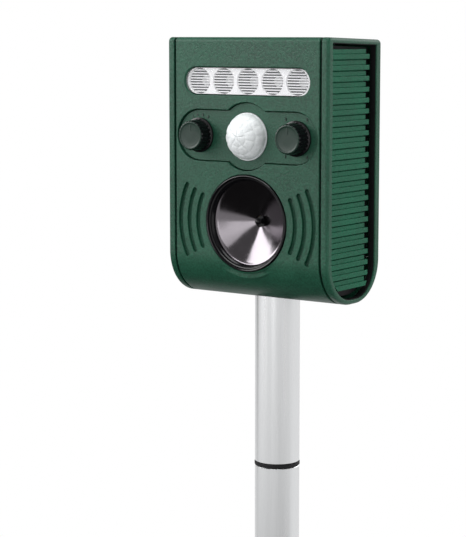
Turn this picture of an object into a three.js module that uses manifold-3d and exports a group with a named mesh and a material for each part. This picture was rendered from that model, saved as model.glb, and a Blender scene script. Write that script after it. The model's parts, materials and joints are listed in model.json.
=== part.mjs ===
// Solar ultrasonic pest repeller: a sounding head that turns on a two-piece pole with a ground spike.
// Millimetres, +Z up. The origin is at ground level on the pole's axis, and the head faces -Y.
import * as THREE from "three";
import { mergeVertices } from "three/addons/utils/BufferGeometryUtils.js";
import Module from "manifold-3d";

const wasm = await Module();
wasm.setup();

// Clearances
const GAP = 0.3; // between pieces that touch or fit into each other
const OVER = 1; // how far a cutting body runs past the surface it cuts

// Head case
const HEAD_WIDTH = 106;
const HEAD_HEIGHT = 144.3;
const HEAD_DEPTH = 54;
const TOP_DROP = 1.5; // fall of the top face from front to back
const WALL = 2.4;
const FRONT_TOP_R = 2.4;
const BACK_TOP_R = 2.4;
const FRONT_BOTTOM_R = 25;
const BACK_BOTTOM_R = 23;
const SIDE_EDGE_R = 1.8; // rounding of the two side frames' outer edges
const STRIP_WIDTH = 5; // from the side to the middle of the black groove
const GROOVE_WIDTH = 1.3;
const SEAL_INSET = 1.3; // depth of the groove down to the black seal
const SEAL_WIDTH = 1.2;

// Side frames and louvres
const WINDOW_FRONT = 4.4;
const WINDOW_BACK = 5.2;
const WINDOW_TOP = 2.8;
const WINDOW_BOTTOM = 2.6;
const LIP_WALL = 1.2;
const LIP_REACH = 4; // how far the frame's lip plugs into the shell
const LIP_ROOT = 1; // how far the lip runs into the frame itself
const LOUVRE_WALL = 1.4;
const LOUVRE_PITCH = 5.9;
const LOUVRE_SLOT = 0.6; // dark gap under each pair of slats
const LOUVRE_TOP = 6.4; // from the case's top to the first slat
const UPPER_SLAT_SINK = 1.5; // below the frame's outer face
const LOWER_SLAT_SINK = 0.8;
const SLAT_ROOT_SINK = 2.9;
const UPPER_SLAT_END = 14.2; // from the case's back
const LOWER_SLAT_END = 11.4;
const LOUVRE_BOTTOM = 5.5;

// Window with the light
const LED_DROP = 23.9; // its middle below the case's top
const LED_WINDOW_LENGTH = 82.5;
const LED_WINDOW_HEIGHT = 15.4;
const LENS_SINK = 0.3;
const LENS_FLANGE = 1.8;
const LENS_FLANGE_THICK = 1;
const LED_COUNT = 5;
const LED_PITCH = 16.1;
const CUP_R = 6.7;
const CUP_THROAT_R = 2.9;
const REFLECTOR_DEPTH = 5.5;
const LED_R = 2.5;
const LED_LENGTH = 6.2;

// Control panel with two knobs and the motion sensor
const PANEL_DROP = 53.7; // its middle below the case's top
const PANEL_HALF_HEIGHT = 14.25;
const PANEL_BULGE_R = 18.65;
const PANEL_SINK = 1.5;
const KNOB_SPACING = 32; // each side of the middle
const KNOB_R = 9.6;
const KNOB_GRIP_R = 8.6;
const KNOB_FLUTES = 18;
const KNOB_FLUTE_DEPTH = 0.5;
const KNOB_FLANGE = 1;
const KNOB_PROUD = 7.8; // in front of the case
const KNOB_CAP = 1.6;
const SHAFT_R = 3;
const POT_SIZE = 10;
const POT_DEPTH = 6.2;
const POT_FLOOR = 1.8;
const DOME_R = 13;
const DOME_PROUD = 8.6; // in front of the case
const DOME_WALL = 0.9;
const DOME_FLANGE = 1.6;
const SENSOR_R = 4.6;
const SENSOR_LENGTH = 5;
const SENSOR_RIM = 0.6;

// Horn
const HORN_RISE = 43.3; // its middle above the case's underside
const HORN_BOSS_R = 30.4;
const HORN_BOSS_DEPTH = 4.4;
const BEZEL_R = 26.5;
const BEZEL_PROUD = 0.7;
const BEZEL_FLANGE_BACK = 0.9;
const BEZEL_NECK_R = 24.7;
const CONE_MOUTH_R = 23;
const CONE_MOUTH_Y = 3.9;
const CONE_THROAT_R = 3.2;
const CONE_THROAT_Y = 14;
const CONE_WALL = 0.9;
const GASKET_THICK = 0.6;
const DRIVER_R = 19;
const DRIVER_BACK = 31;
const DRIVER_WALL = 1.4;
const PLUG_R = 1.9;
const PLUG_STEM_R = 0.9;
const DISC_THICK = 0.6;
const VENT_RADII = [32.3, 38.3, 44.3];
const VENT_HALF_ANGLE = 26;
const VENT_WIDTH = 2.7;
const VENT_DEPTH = 1.2;

// Circuit board
const BOARD_Y = 12.6;
const BOARD_THICK = 1.6;
const BOARD_MARGIN = 1;
const BOARD_TOP_DROP = 14.5; // below the case's top
const BOARD_HEIGHT = 55;
const BOARD_SCREW_LENGTH = 9;

// Rear cover and its screws
const BOSS_R = 3.5;
const BOSS_INSET = 6.8; // from the shell's cut ends
const BOSS_TOP_DROP = 10;
const BOSS_RISE = 28;
const PAD_DEPTH = 2; // thickening of the rear cover under the screw heads
const SCREW_R = 1.2;
const SCREW_HEAD_R = 2.7;
const SCREW_HEAD_LENGTH = 1.7;
const SCREW_LENGTH = 11;

// Battery compartment
const CELL_COUNT = 3;
const CELL_R = 7.1;
const CELL_LENGTH = 49.5;
const CELL_SPACE = 0.8; // between two cells
const TRAY_WALL = 1.3;
const CONTACT_THICK = 0.6;
const DOOR_THICK = 1.8;
const DOOR_SINK = 0.2;
const DOOR_OVERLAP_SIDE = 3;
const DOOR_OVERLAP_TOP = 8;
const DOOR_OVERLAP_BOTTOM = 3;
const DOOR_PIN_R = 0.6;
const DOOR_PIN_LENGTH = 1.4;
const DOOR_SCREW_HEAD = 0.8;
const CELL_NUB_R = 2.7;
const CELL_NUB_LENGTH = 0.9;
const LEDGE_THICK = 1.5;
const TRAY_MIDDLE = 70; // height of the middle cell above the underside

// Switch and charging socket
const PORT_RISE = 31;
const PORT_SPACING = 20; // each side of the middle
const BUTTON_R = 3.6;
const BUTTON_PROUD = 2;
const BUTTON_TRAVEL = 1.5;
const BUTTON_FLANGE = 0.8;
const SWITCH_SIZE = 11;
const SWITCH_DEPTH = 7;
const USB_WIDTH = 8;
const USB_HEIGHT = 3.2;
const USB_DEPTH = 6;
const FLAP_WIDTH = 14;
const FLAP_HEIGHT = 9;
const FLAP_THICK = 1.4;
const FLAP_PIN_R = 0.4;
const FLAP_PIN_LENGTH = 1;
const USB_WALL = 0.5;

// Solar panel
const SOLAR_LENGTH = 88;
const SOLAR_WIDTH = 38;
const SOLAR_FRAME = 2.2;
const SOLAR_SINK = 2;
const SOLAR_PAD = 1.6;
const CELL_SHEET = 0.6;
const COVER_SHEET = 0.7;

// Pole and spike
const POLE_BACK = 31.5; // the pole's axis behind the case's front
const TUBE_R = 12.7;
const TUBE_WALL = 1;
const LOWER_TUBE_VISIBLE = 100.8;
const UPPER_TUBE_VISIBLE = 95;
const TUBE_INSERT = 20;
const LINER_THICK = 1.1;
const SOCKET_WALL = 2;
const JOINER_RING = 2;
const JOINER_RING_R = 12.9;
const JOINER_REACH = 22;
const JOINER_WALL = 2;
const SPIKE_LENGTH = 160;
const SPIKE_COLLAR = 6;
const SPIKE_COLLAR_R = 16;
const SPIKE_BLADE_HALF = 11;
const SPIKE_BLADE_THICK = 4;
const SPIKE_TIP = 1.6;

// Places worked out from the sizes
const bandHalf = HEAD_WIDTH / 2 - STRIP_WIDTH - GROOVE_WIDTH / 2;
const frameInner = HEAD_WIDTH / 2 - STRIP_WIDTH + GROOVE_WIDTH / 2;
const frameOuter = HEAD_WIDTH / 2;
const ledZ = HEAD_HEIGHT - LED_DROP;
const panelZ = HEAD_HEIGHT - PANEL_DROP;
const panelFloor = PANEL_SINK + WALL;
const coverFront = HEAD_DEPTH - WALL;
const lowerTubeZ = SPIKE_COLLAR + GAP;
const ringZ = lowerTubeZ + LOWER_TUBE_VISIBLE + GAP;
const upperTubeZ = ringZ + JOINER_RING + GAP;
const headZ = upperTubeZ + UPPER_TUBE_VISIBLE;
const bossX = bandHalf - BOSS_INSET;
const bossHeights = [BOSS_RISE, HEAD_HEIGHT - BOSS_TOP_DROP];
const padFront = coverFront - PAD_DEPTH;
const topAngle = Math.atan2(TOP_DROP, HEAD_DEPTH);
const socketBoreR = TUBE_R + GAP + LINER_THICK + GAP;
const bezelSeat = BEZEL_FLANGE_BACK + 2 * GAP + GASKET_THICK; // floor of the horn's pocket
const coneFlangeBack = CONE_MOUTH_Y + CONE_WALL;
const lipEnd = frameInner - LIP_REACH; // the frames' innermost reach
const boardHalf = lipEnd - GAP - BOARD_MARGIN;
const boardLow = HEAD_HEIGHT - BOARD_TOP_DROP - BOARD_HEIGHT;
const boardBack = BOARD_Y + BOARD_THICK;
const boardScrewX = boardHalf - 4.5;
const boardScrewZ = boardLow + 4;
const screwSeat = HEAD_DEPTH - SCREW_HEAD_LENGTH - GAP;
const cellPitch = 2 * CELL_R + CELL_SPACE;
const opening = {
  half: CELL_LENGTH / 2 + 2 * GAP + CONTACT_THICK,
  reach: ((CELL_COUNT - 1) * cellPitch) / 2 + CELL_R + GAP,
};
const door = {
  half: opening.half + DOOR_OVERLAP_SIDE,
  low: TRAY_MIDDLE - opening.reach - DOOR_OVERLAP_BOTTOM,
  high: TRAY_MIDDLE + opening.reach + DOOR_OVERLAP_TOP,
  front: HEAD_DEPTH - DOOR_SINK - DOOR_THICK,
};
door.back = door.front + DOOR_THICK;
door.pinY = door.front + DOOR_THICK / 2;
door.pinZ = door.low + DOOR_THICK / 2;
door.screwZ = door.high - DOOR_OVERLAP_TOP / 2;
door.ledge = door.front - GAP; // the face of the cover that the door rests on
const trayBack = door.ledge - LEDGE_THICK - GAP;
const cellY = trayBack + GAP - CELL_R;
const buttonFlangeBack = coverFront - GAP;
const switchBack = buttonFlangeBack - BUTTON_FLANGE - BUTTON_TRAVEL - GAP;
const flap = {
  back: HEAD_DEPTH - DOOR_SINK,
  front: HEAD_DEPTH - DOOR_SINK - FLAP_THICK,
  low: PORT_RISE - FLAP_HEIGHT / 2,
  high: PORT_RISE + FLAP_HEIGHT / 2,
};
flap.pinY = (flap.front + flap.back) / 2;
flap.pinZ = flap.low + FLAP_THICK / 2;

// Finishes
function finish(color, roughness, metalness = 0) {
  return new THREE.MeshStandardMaterial({ color, roughness, metalness });
}
const caseGreen = finish(0x24513f, 0.55);
const knobGreen = finish(0x14301f, 0.4);
const black = finish(0x101112, 0.35);
const rubber = finish(0x17181a, 0.8);
const clear = finish(0xf2f6f8, 0.08);
clear.transparent = true;
clear.opacity = 0.35;
const pearl = finish(0xe9edf2, 0.45);
const white = finish(0xf0f1f2, 0.3);
const mirror = finish(0x8d8f94, 0.12, 1);
const alloy = finish(0xc3c7ca, 0.3, 1);
const steel = finish(0x9ea2a6, 0.35, 1);
const brass = finish(0xb8943c, 0.35, 1);
const boardGreen = finish(0x1c5a34, 0.5);
const cellBlue = finish(0x14203a, 0.25);
const sleeve = finish(0x2f7d46, 0.4);

// A closed geometry as a solid that can be joined and cut
function solid(geometry) {
  const bare = geometry.index ? geometry.toNonIndexed() : geometry.clone();
  bare.deleteAttribute("normal");
  bare.deleteAttribute("uv");
  const merged = mergeVertices(bare, 1e-4);
  const vertProperties = merged.attributes.position.array;
  const triVerts = new Uint32Array(merged.index.array);
  return new wasm.Manifold(new wasm.Mesh({ numProp: 3, vertProperties, triVerts }));
}

// A named mesh of a solid in a finish
function piece(name, body, material) {
  const { numProp, numVert, vertProperties, triVerts } = body.getMesh();
  const places = new Float32Array(numVert * 3);
  for (let i = 0; i < numVert; i++) {
    places.set(vertProperties.subarray(i * numProp, i * numProp + 3), i * 3);
  }
  const geometry = new THREE.BufferGeometry();
  geometry.setAttribute("position", new THREE.BufferAttribute(places, 3));
  geometry.setIndex(new THREE.BufferAttribute(triVerts, 1));
  geometry.computeVertexNormals();
  const mesh = new THREE.Mesh(geometry, material);
  mesh.name = name;
  return mesh;
}

const join = (first, ...others) => others.reduce((sum, next) => sum.add(next), first);
const cut = (first, ...others) => others.reduce((rest, next) => rest.subtract(next), first);
const radians = THREE.MathUtils.degToRad;

// Points of an arc, both ends included; angles in degrees
function arc(u, v, radius, from, to, steps) {
  const points = [];
  for (let i = 0; i <= steps; i++) {
    const angle = radians(from + ((to - from) * i) / steps);
    points.push(new THREE.Vector2(u + radius * Math.cos(angle), v + radius * Math.sin(angle)));
  }
  return points;
}

function box(x0, x1, y0, y1, z0, z1) {
  const geometry = new THREE.BoxGeometry(x1 - x0, y1 - y0, z1 - z0);
  return solid(geometry.translate((x0 + x1) / 2, (y0 + y1) / 2, (z0 + z1) / 2));
}

// Turns an extrusion made along Z so that it runs along X, with its outline in (y, z)
const towardsX = new THREE.Matrix4().makeBasis(
  new THREE.Vector3(0, 1, 0),
  new THREE.Vector3(0, 0, 1),
  new THREE.Vector3(1, 0, 0),
);

// An outline in (y, z) extruded along X
function alongX(points, x0, x1) {
  const settings = { depth: x1 - x0, bevelEnabled: false };
  const geometry = new THREE.ExtrudeGeometry(new THREE.Shape(points), settings);
  return solid(geometry.applyMatrix4(towardsX).translate(x0, 0, 0));
}

// An outline in (x, z) extruded along Y
function alongY(points, y0, y1) {
  const settings = { depth: y1 - y0, bevelEnabled: false };
  const geometry = new THREE.ExtrudeGeometry(new THREE.Shape(points), settings);
  return solid(geometry.rotateX(Math.PI / 2).translate(0, y1, 0));
}

// A round bar along Y from y0 to y1, with its axis at (x, z)
function rod(x, z, radius, y0, y1, sides = 24) {
  const geometry = new THREE.CylinderGeometry(radius, radius, y1 - y0, sides);
  return solid(geometry.translate(x, (y0 + y1) / 2, z));
}

// A turned body: points are (radius, distance along the axis)
function turned(points, sides) {
  const closed = [...points, points[0]].map(([r, h]) => new THREE.Vector2(r, h));
  if (THREE.ShapeUtils.area(closed) < 0) closed.reverse();
  return new THREE.LatheGeometry(closed, sides);
}

const turnedY = (points, x, z, sides) => solid(turned(points, sides).translate(x, 0, z));

function turnedZ(points, x, y, sides = 24) {
  return solid(turned(points, sides).rotateX(Math.PI / 2).translate(x, y, 0));
}

// A round bar along Z from z0 to z1, with its axis at (x, y)
function rodZ(x, y, radius, z0, z1, sides = 24) {
  const geometry = new THREE.CylinderGeometry(radius, radius, z1 - z0, sides);
  return solid(geometry.rotateX(Math.PI / 2).translate(x, y, (z0 + z1) / 2));
}

// A round bar along X from x0 to x1, with its axis at (y, z)
function rodX(y, z, radius, x0, x1, sides = 16) {
  const geometry = new THREE.CylinderGeometry(radius, radius, x1 - x0, sides);
  return solid(geometry.rotateZ(Math.PI / 2).translate((x0 + x1) / 2, y, z));
}

// A stadium outline: a bar with round ends
function stadium(x, z, length, height) {
  const r = height / 2;
  const half = length / 2 - r;
  return [...arc(x + half, z, r, -90, 90, 8), ...arc(x - half, z, r, 90, 270, 8)];
}

// The case's side outline in (y, z), moved inwards by inset
function caseOutline(inset, front = inset, back = inset, top = inset, bottom = inset) {
  const rear = HEAD_DEPTH - back;
  const ceiling = (y) => HEAD_HEIGHT - top - (TOP_DROP * y) / HEAD_DEPTH;
  const round = (radius, reduce) => Math.max(radius - reduce, 0.6);
  const frontLow = round(FRONT_BOTTOM_R, Math.max(front, bottom));
  const rearLow = round(BACK_BOTTOM_R, Math.max(back, bottom));
  const rearHigh = round(BACK_TOP_R, Math.max(back, top));
  const frontHigh = round(FRONT_TOP_R, Math.max(front, top));
  return [
    ...arc(front + frontLow, bottom + frontLow, frontLow, 180, 270, 7),
    ...arc(rear - rearLow, bottom + rearLow, rearLow, 270, 360, 6),
    ...arc(rear - rearHigh, ceiling(rear - rearHigh) - rearHigh, rearHigh, 0, 90, 2),
    ...arc(front + frontHigh, ceiling(front + frontHigh) - frontHigh, frontHigh, 90, 180, 2),
  ];
}

// The control panel's outline: a stadium with a round bulge in the middle
function panelOutline(grow) {
  const half = PANEL_HALF_HEIGHT + grow;
  const bulge = PANEL_BULGE_R + grow;
  const corner = THREE.MathUtils.radToDeg(Math.asin(half / bulge));
  return [
    ...arc(KNOB_SPACING, panelZ, half, -90, 90, 8),
    ...arc(0, panelZ, bulge, corner, 180 - corner, 5),
    ...arc(-KNOB_SPACING, panelZ, half, 90, 270, 8),
    ...arc(0, panelZ, bulge, 180 + corner, 360 - corner, 5),
  ];
}

// One vent groove: a band that follows a circle round the horn, with round ends
function ventOutline(radius, side) {
  const half = VENT_WIDTH / 2;
  const middle = side > 0 ? 0 : 180;
  const low = middle - VENT_HALF_ANGLE;
  const high = middle + VENT_HALF_ANGLE;
  const endAt = (angle) => [
    radius * Math.cos(radians(angle)),
    HORN_RISE + radius * Math.sin(radians(angle)),
  ];
  const [highX, highZ] = endAt(high);
  const [lowX, lowZ] = endAt(low);
  return [
    ...arc(0, HORN_RISE, radius + half, low, high, 5),
    ...arc(highX, highZ, half, high, high + 180, 3).slice(1, -1),
    ...arc(0, HORN_RISE, radius - half, high, low, 5),
    ...arc(lowX, lowZ, half, low + 180, low + 360, 3).slice(1, -1),
  ];
}

// Front shell: the band that forms the front, top and underside between the two side frames
function frontShell() {
  let shell = cut(
    alongX(caseOutline(0), -bandHalf, bandHalf),
    alongX(caseOutline(WALL), -bandHalf - OVER, bandHalf + OVER),
    box(
      -bandHalf - OVER,
      bandHalf + OVER,
      coverFront - GAP,
      HEAD_DEPTH + OVER,
      BACK_BOTTOM_R,
      HEAD_HEIGHT + OVER,
    ),
  );
  const solarPad = alongX(
    [
      [FRONT_TOP_R, HEAD_HEIGHT - WALL / 2],
      [FRONT_TOP_R, HEAD_HEIGHT - WALL - SOLAR_PAD],
      [coverFront - 2 * GAP, HEAD_HEIGHT - WALL - SOLAR_PAD - TOP_DROP],
      [coverFront - 2 * GAP, HEAD_HEIGHT - WALL / 2 - TOP_DROP],
    ].map(([y, z]) => new THREE.Vector2(y, z)),
    -bandHalf + LIP_REACH,
    bandHalf - LIP_REACH,
  );
  const socketTop = TUBE_INSERT + GAP + SOCKET_WALL;
  const socket = rodZ(0, POLE_BACK, socketBoreR + SOCKET_WALL, WALL / 2, socketTop);
  const panelReach = lipEnd - GAP;
  const panelBacking = alongY(panelOutline(WALL / 2), WALL / 2, panelFloor).intersect(
    box(-panelReach, panelReach, 0, panelFloor, 0, HEAD_HEIGHT),
  );
  shell = join(
    shell,
    solarPad,
    panelBacking,
    rod(0, HORN_RISE, HORN_BOSS_R, 0, HORN_BOSS_DEPTH, 32),
    socket,
  );
  for (const side of [-1, 1]) {
    for (const z of bossHeights) {
      shell = shell.add(rod(side * bossX, z, BOSS_R, WALL / 2, padFront - GAP, 10));
      shell = shell.subtract(rod(side * bossX, z, SCREW_R + GAP, padFront - SCREW_LENGTH, padFront, 8));
    }
    shell = shell.add(rod(side * boardScrewX, boardScrewZ, BOSS_R, WALL / 2, BOARD_Y - GAP, 10));
    shell = shell.subtract(rod(side * boardScrewX, boardScrewZ, SCREW_R + GAP, WALL, BOARD_Y, 8));
    const knobX = side * KNOB_SPACING;
    shell = shell.subtract(rod(knobX, panelZ, SHAFT_R + GAP, 0, panelFloor + OVER, 16));
    for (const radius of VENT_RADII) {
      shell = shell.subtract(alongY(ventOutline(radius, side), -OVER, VENT_DEPTH));
    }
  }
  return cut(
    shell,
    alongY(stadium(0, ledZ, LED_WINDOW_LENGTH, LED_WINDOW_HEIGHT), -OVER, WALL + OVER),
    alongY(panelOutline(0), -OVER, PANEL_SINK),
    rod(0, panelZ, DOME_R + GAP, 0, panelFloor + OVER, 24),
    rod(0, HORN_RISE, BEZEL_R + GAP, -OVER, bezelSeat, 32),
    rod(0, HORN_RISE, BEZEL_NECK_R + GAP, -OVER, FRONT_BOTTOM_R / 2, 32),
    rodZ(0, POLE_BACK, TUBE_R + GAP, -OVER, WALL + OVER),
    rodZ(0, POLE_BACK, socketBoreR, WALL, TUBE_INSERT + GAP),
    solarRecess(),
  );
}

// A body given on the top face's own level, turned to the face's slope
function onTop(body) {
  const { numProp, numVert, vertProperties, triVerts } = body.getMesh();
  const geometry = new THREE.BufferGeometry();
  const places = new Float32Array(numVert * 3);
  for (let i = 0; i < numVert; i++) {
    places.set(vertProperties.subarray(i * numProp, i * numProp + 3), i * 3);
  }
  geometry.setAttribute("position", new THREE.BufferAttribute(places, 3));
  geometry.setIndex(new THREE.BufferAttribute(triVerts, 1));
  return solid(geometry.rotateX(-topAngle).translate(0, HEAD_DEPTH / 2, HEAD_HEIGHT - TOP_DROP / 2));
}

// The pocket in the top face that takes the solar panel, with its wire hole
function solarRecess() {
  const x = SOLAR_LENGTH / 2 + GAP;
  const y = SOLAR_WIDTH / 2 + GAP;
  const pocket = box(-x, x, -y, y, -SOLAR_SINK, OVER);
  return onTop(join(pocket, rodZ(0, 0, 2.5, -WALL - SOLAR_PAD - OVER, 0, 12)));
}

// Solar panel: a frame, the sheet of cells and the clear cover over them
function solarPanel() {
  const x = SOLAR_LENGTH / 2;
  const y = SOLAR_WIDTH / 2;
  const floor = -SOLAR_SINK + GAP;
  const innerX = x - SOLAR_FRAME;
  const innerY = y - SOLAR_FRAME;
  const tray = cut(
    box(-x, x, -y, y, floor, 0),
    box(-innerX, innerX, -innerY, innerY, floor - OVER, OVER),
  );
  const sheetX = innerX - GAP;
  const sheetY = innerY - GAP;
  const coverFloor = floor + CELL_SHEET + GAP;
  return [
    piece("solar_panel_frame", onTop(tray), black),
    piece("solar_cells", onTop(box(-sheetX, sheetX, -sheetY, sheetY, floor, floor + CELL_SHEET)), cellBlue),
    piece(
      "solar_cover",
      onTop(box(-sheetX, sheetX, -sheetY, sheetY, coverFloor, Math.min(coverFloor + COVER_SHEET, 0))),
      clear,
    ),
  ];
}

// Side frame: the rounded outer ring of one side, with a lip that plugs into the shell
function sideFrame() {
  const depth = frameOuter - frameInner + OVER - SIDE_EDGE_R;
  const rounded = new THREE.ExtrudeGeometry(new THREE.Shape(caseOutline(0)), {
    depth,
    bevelThickness: SIDE_EDGE_R,
    bevelSize: SIDE_EDGE_R,
    bevelOffset: -SIDE_EDGE_R,
    bevelSegments: 2,
  });
  const block = solid(rounded.applyMatrix4(towardsX).translate(frameOuter - SIDE_EDGE_R - depth, 0, 0));
  const inside = frameInner - 2 * SIDE_EDGE_R - 2 * OVER;
  const ring = cut(
    block,
    box(inside, frameInner, -OVER, HEAD_DEPTH + OVER, -OVER, HEAD_HEIGHT + OVER),
    alongX(
      caseOutline(0, WINDOW_FRONT, WINDOW_BACK, WINDOW_TOP, WINDOW_BOTTOM),
      frameInner - OVER,
      frameOuter + OVER,
    ),
  );
  const lipOutside = WALL + GAP;
  const lip = cut(
    alongX(caseOutline(lipOutside), lipEnd, frameInner + LIP_ROOT),
    alongX(caseOutline(lipOutside + LIP_WALL), lipEnd - OVER, frameInner + LIP_ROOT + OVER),
  );
  return join(ring, lip);
}

// Black seal in the groove between the shell and a side frame
function sideSeal() {
  const x0 = bandHalf + GAP;
  const x1 = frameInner - GAP;
  return cut(
    alongX(caseOutline(SEAL_INSET), x0, x1),
    alongX(caseOutline(SEAL_INSET + SEAL_WIDTH), x0 - OVER, x1 + OVER),
  );
}

// Louvre panel: slats in pairs, the lower one of each pair longer and prouder, hollow from behind
function louvrePanel() {
  const inset = WALL + GAP + LIP_WALL + GAP;
  const plate = alongX(caseOutline(inset), lipEnd, lipEnd + LOUVRE_WALL);
  const rootX = frameOuter - SLAT_ROOT_SINK;
  const upperX = frameOuter - UPPER_SLAT_SINK;
  const lowerX = frameOuter - LOWER_SLAT_SINK;
  const front = WINDOW_FRONT + GAP;
  const upperEnd = HEAD_DEPTH - UPPER_SLAT_END;
  const lowerEnd = HEAD_DEPTH - LOWER_SLAT_END;
  const slatHeight = (LOUVRE_PITCH - LOUVRE_SLOT) / 2;
  const top = HEAD_HEIGHT - LOUVRE_TOP;
  const pairs = Math.floor((top - LOUVRE_BOTTOM) / LOUVRE_PITCH);
  const startX = lipEnd + LOUVRE_WALL / 2;
  const steps = [[startX, top]];
  const tails = [];
  for (let i = 0; i < pairs; i++) {
    const high = top - i * LOUVRE_PITCH;
    const middle = high - slatHeight;
    const low = middle - slatHeight;
    const next = high - LOUVRE_PITCH;
    steps.push([upperX, high], [upperX, middle], [lowerX, middle], [lowerX, low]);
    steps.push([rootX, low], [rootX, next]);
    tails.push(box(rootX - LOUVRE_WALL, lowerX, upperEnd, lowerEnd, low, middle));
  }
  const bottom = top - pairs * LOUVRE_PITCH;
  steps.push([startX, bottom]);
  const profile = steps.map(([x, z]) => new THREE.Vector2(x, z)).reverse();
  const keep = alongX(
    caseOutline(0, front - GAP / 2, LOWER_SLAT_END - GAP, WINDOW_TOP, inset),
    lipEnd,
    frameOuter,
  );
  const wall = LOUVRE_WALL;
  const hollow = alongX(
    caseOutline(0, front + wall, UPPER_SLAT_END + wall, LOUVRE_TOP + wall, inset + wall),
    lipEnd - OVER,
    rootX - wall,
  );
  return cut(join(plate, join(alongY(profile, front, upperEnd), ...tails).intersect(keep)), hollow);
}

// Rear cover with the openings for the battery door, the switch and the charging socket
function rearCover() {
  const low = BACK_BOTTOM_R + GAP;
  const doorHalf = door.half + GAP;
  const ledgeY = door.ledge;
  let cover = alongX(caseOutline(0), -bandHalf, bandHalf).intersect(
    box(-bandHalf, bandHalf, coverFront, HEAD_DEPTH, low, HEAD_HEIGHT),
  );
  const ledge = box(
    -doorHalf - WALL,
    doorHalf + WALL,
    ledgeY - LEDGE_THICK,
    coverFront + GAP,
    door.low - GAP - WALL,
    door.high + GAP + WALL,
  );
  cover = join(cover, ledge);
  for (const side of [-1, 1]) {
    for (const z of bossHeights) {
      cover = cover.add(rod(side * bossX, z, BOSS_R, padFront, coverFront + GAP, 10));
      cover = cover.subtract(rod(side * bossX, z, SCREW_R + GAP, padFront - OVER, HEAD_DEPTH, 8));
      cover = cover.subtract(rod(side * bossX, z, SCREW_HEAD_R + GAP, screwSeat, HEAD_DEPTH + OVER, 14));
    }
  }
  const pinReach = door.half + DOOR_PIN_LENGTH + GAP;
  return cut(
    cover,
    box(-doorHalf, doorHalf, ledgeY, HEAD_DEPTH + OVER, door.low - GAP, door.high + GAP),
    box(
      -door.half + DOOR_OVERLAP_SIDE,
      door.half - DOOR_OVERLAP_SIDE,
      ledgeY - LEDGE_THICK - OVER,
      HEAD_DEPTH + OVER,
      door.low + DOOR_OVERLAP_BOTTOM,
      door.high - DOOR_OVERLAP_TOP,
    ),
    rodX(door.pinY, door.pinZ, DOOR_PIN_R + GAP, -pinReach, pinReach, 8),
    rod(0, door.screwZ, SCREW_R + GAP, ledgeY - LEDGE_THICK - OVER, HEAD_DEPTH, 8),
    rod(-PORT_SPACING, PORT_RISE, BUTTON_R + GAP, coverFront - OVER, HEAD_DEPTH + OVER, 16),
    box(
      PORT_SPACING - USB_WIDTH / 2 - GAP,
      PORT_SPACING + USB_WIDTH / 2 + GAP,
      coverFront - OVER,
      HEAD_DEPTH + OVER,
      PORT_RISE - USB_HEIGHT / 2 - GAP,
      PORT_RISE + USB_HEIGHT / 2 + GAP,
    ),
    flapPocket(),
  );
}

// The pocket round the charging socket that takes its rubber flap, with the holes for the flap's pins
function flapPocket() {
  const half = FLAP_WIDTH / 2 + GAP;
  const pinHalf = FLAP_WIDTH / 2 + FLAP_PIN_LENGTH + GAP;
  return join(
    box(
      PORT_SPACING - half,
      PORT_SPACING + half,
      flap.front - GAP,
      HEAD_DEPTH + OVER,
      flap.low - GAP,
      flap.high + GAP,
    ),
    rodX(flap.pinY, flap.pinZ, FLAP_PIN_R + GAP, PORT_SPACING - pinHalf, PORT_SPACING + pinHalf, 8),
  );
}

// A lid that swings on a round lower edge with a pin at each end
function swingLid(x, half, low, high, front, back, pinR, pinLength) {
  const r = (back - front) / 2;
  const axisY = (front + back) / 2;
  const outline = [
    ...arc(axisY, low + r, r, 180, 360, 6),
    new THREE.Vector2(back, high),
    new THREE.Vector2(front, high),
  ];
  return join(
    alongX(outline, x - half, x + half),
    rodX(axisY, low + r, pinR, x - half - pinLength, x + half + pinLength, 8),
  );
}

// Battery door with its captive screw
function batteryDoor() {
  const headFront = door.back - DOOR_SCREW_HEAD;
  const lid = cut(
    swingLid(0, door.half, door.low, door.high, door.front, door.back, DOOR_PIN_R, DOOR_PIN_LENGTH),
    rod(0, door.screwZ, SCREW_R + GAP, door.front - OVER, door.back + OVER, 8),
    rod(0, door.screwZ, SCREW_HEAD_R + GAP, headFront - GAP, door.back + OVER, 16),
  );
  const screw = join(
    rod(0, door.screwZ, SCREW_HEAD_R, headFront, door.back, 14),
    rod(0, door.screwZ, SCREW_R, door.ledge - LEDGE_THICK, headFront + DOOR_SCREW_HEAD / 2, 8),
  );
  const slot = box(-SCREW_HEAD_R, SCREW_HEAD_R, door.back - 0.4, door.back + OVER, -0.4, 0.4);
  return [
    piece("battery_door", lid, caseGreen),
    piece("battery_door_screw", screw.subtract(slot.translate([0, 0, door.screwZ])), steel),
  ];
}

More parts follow.
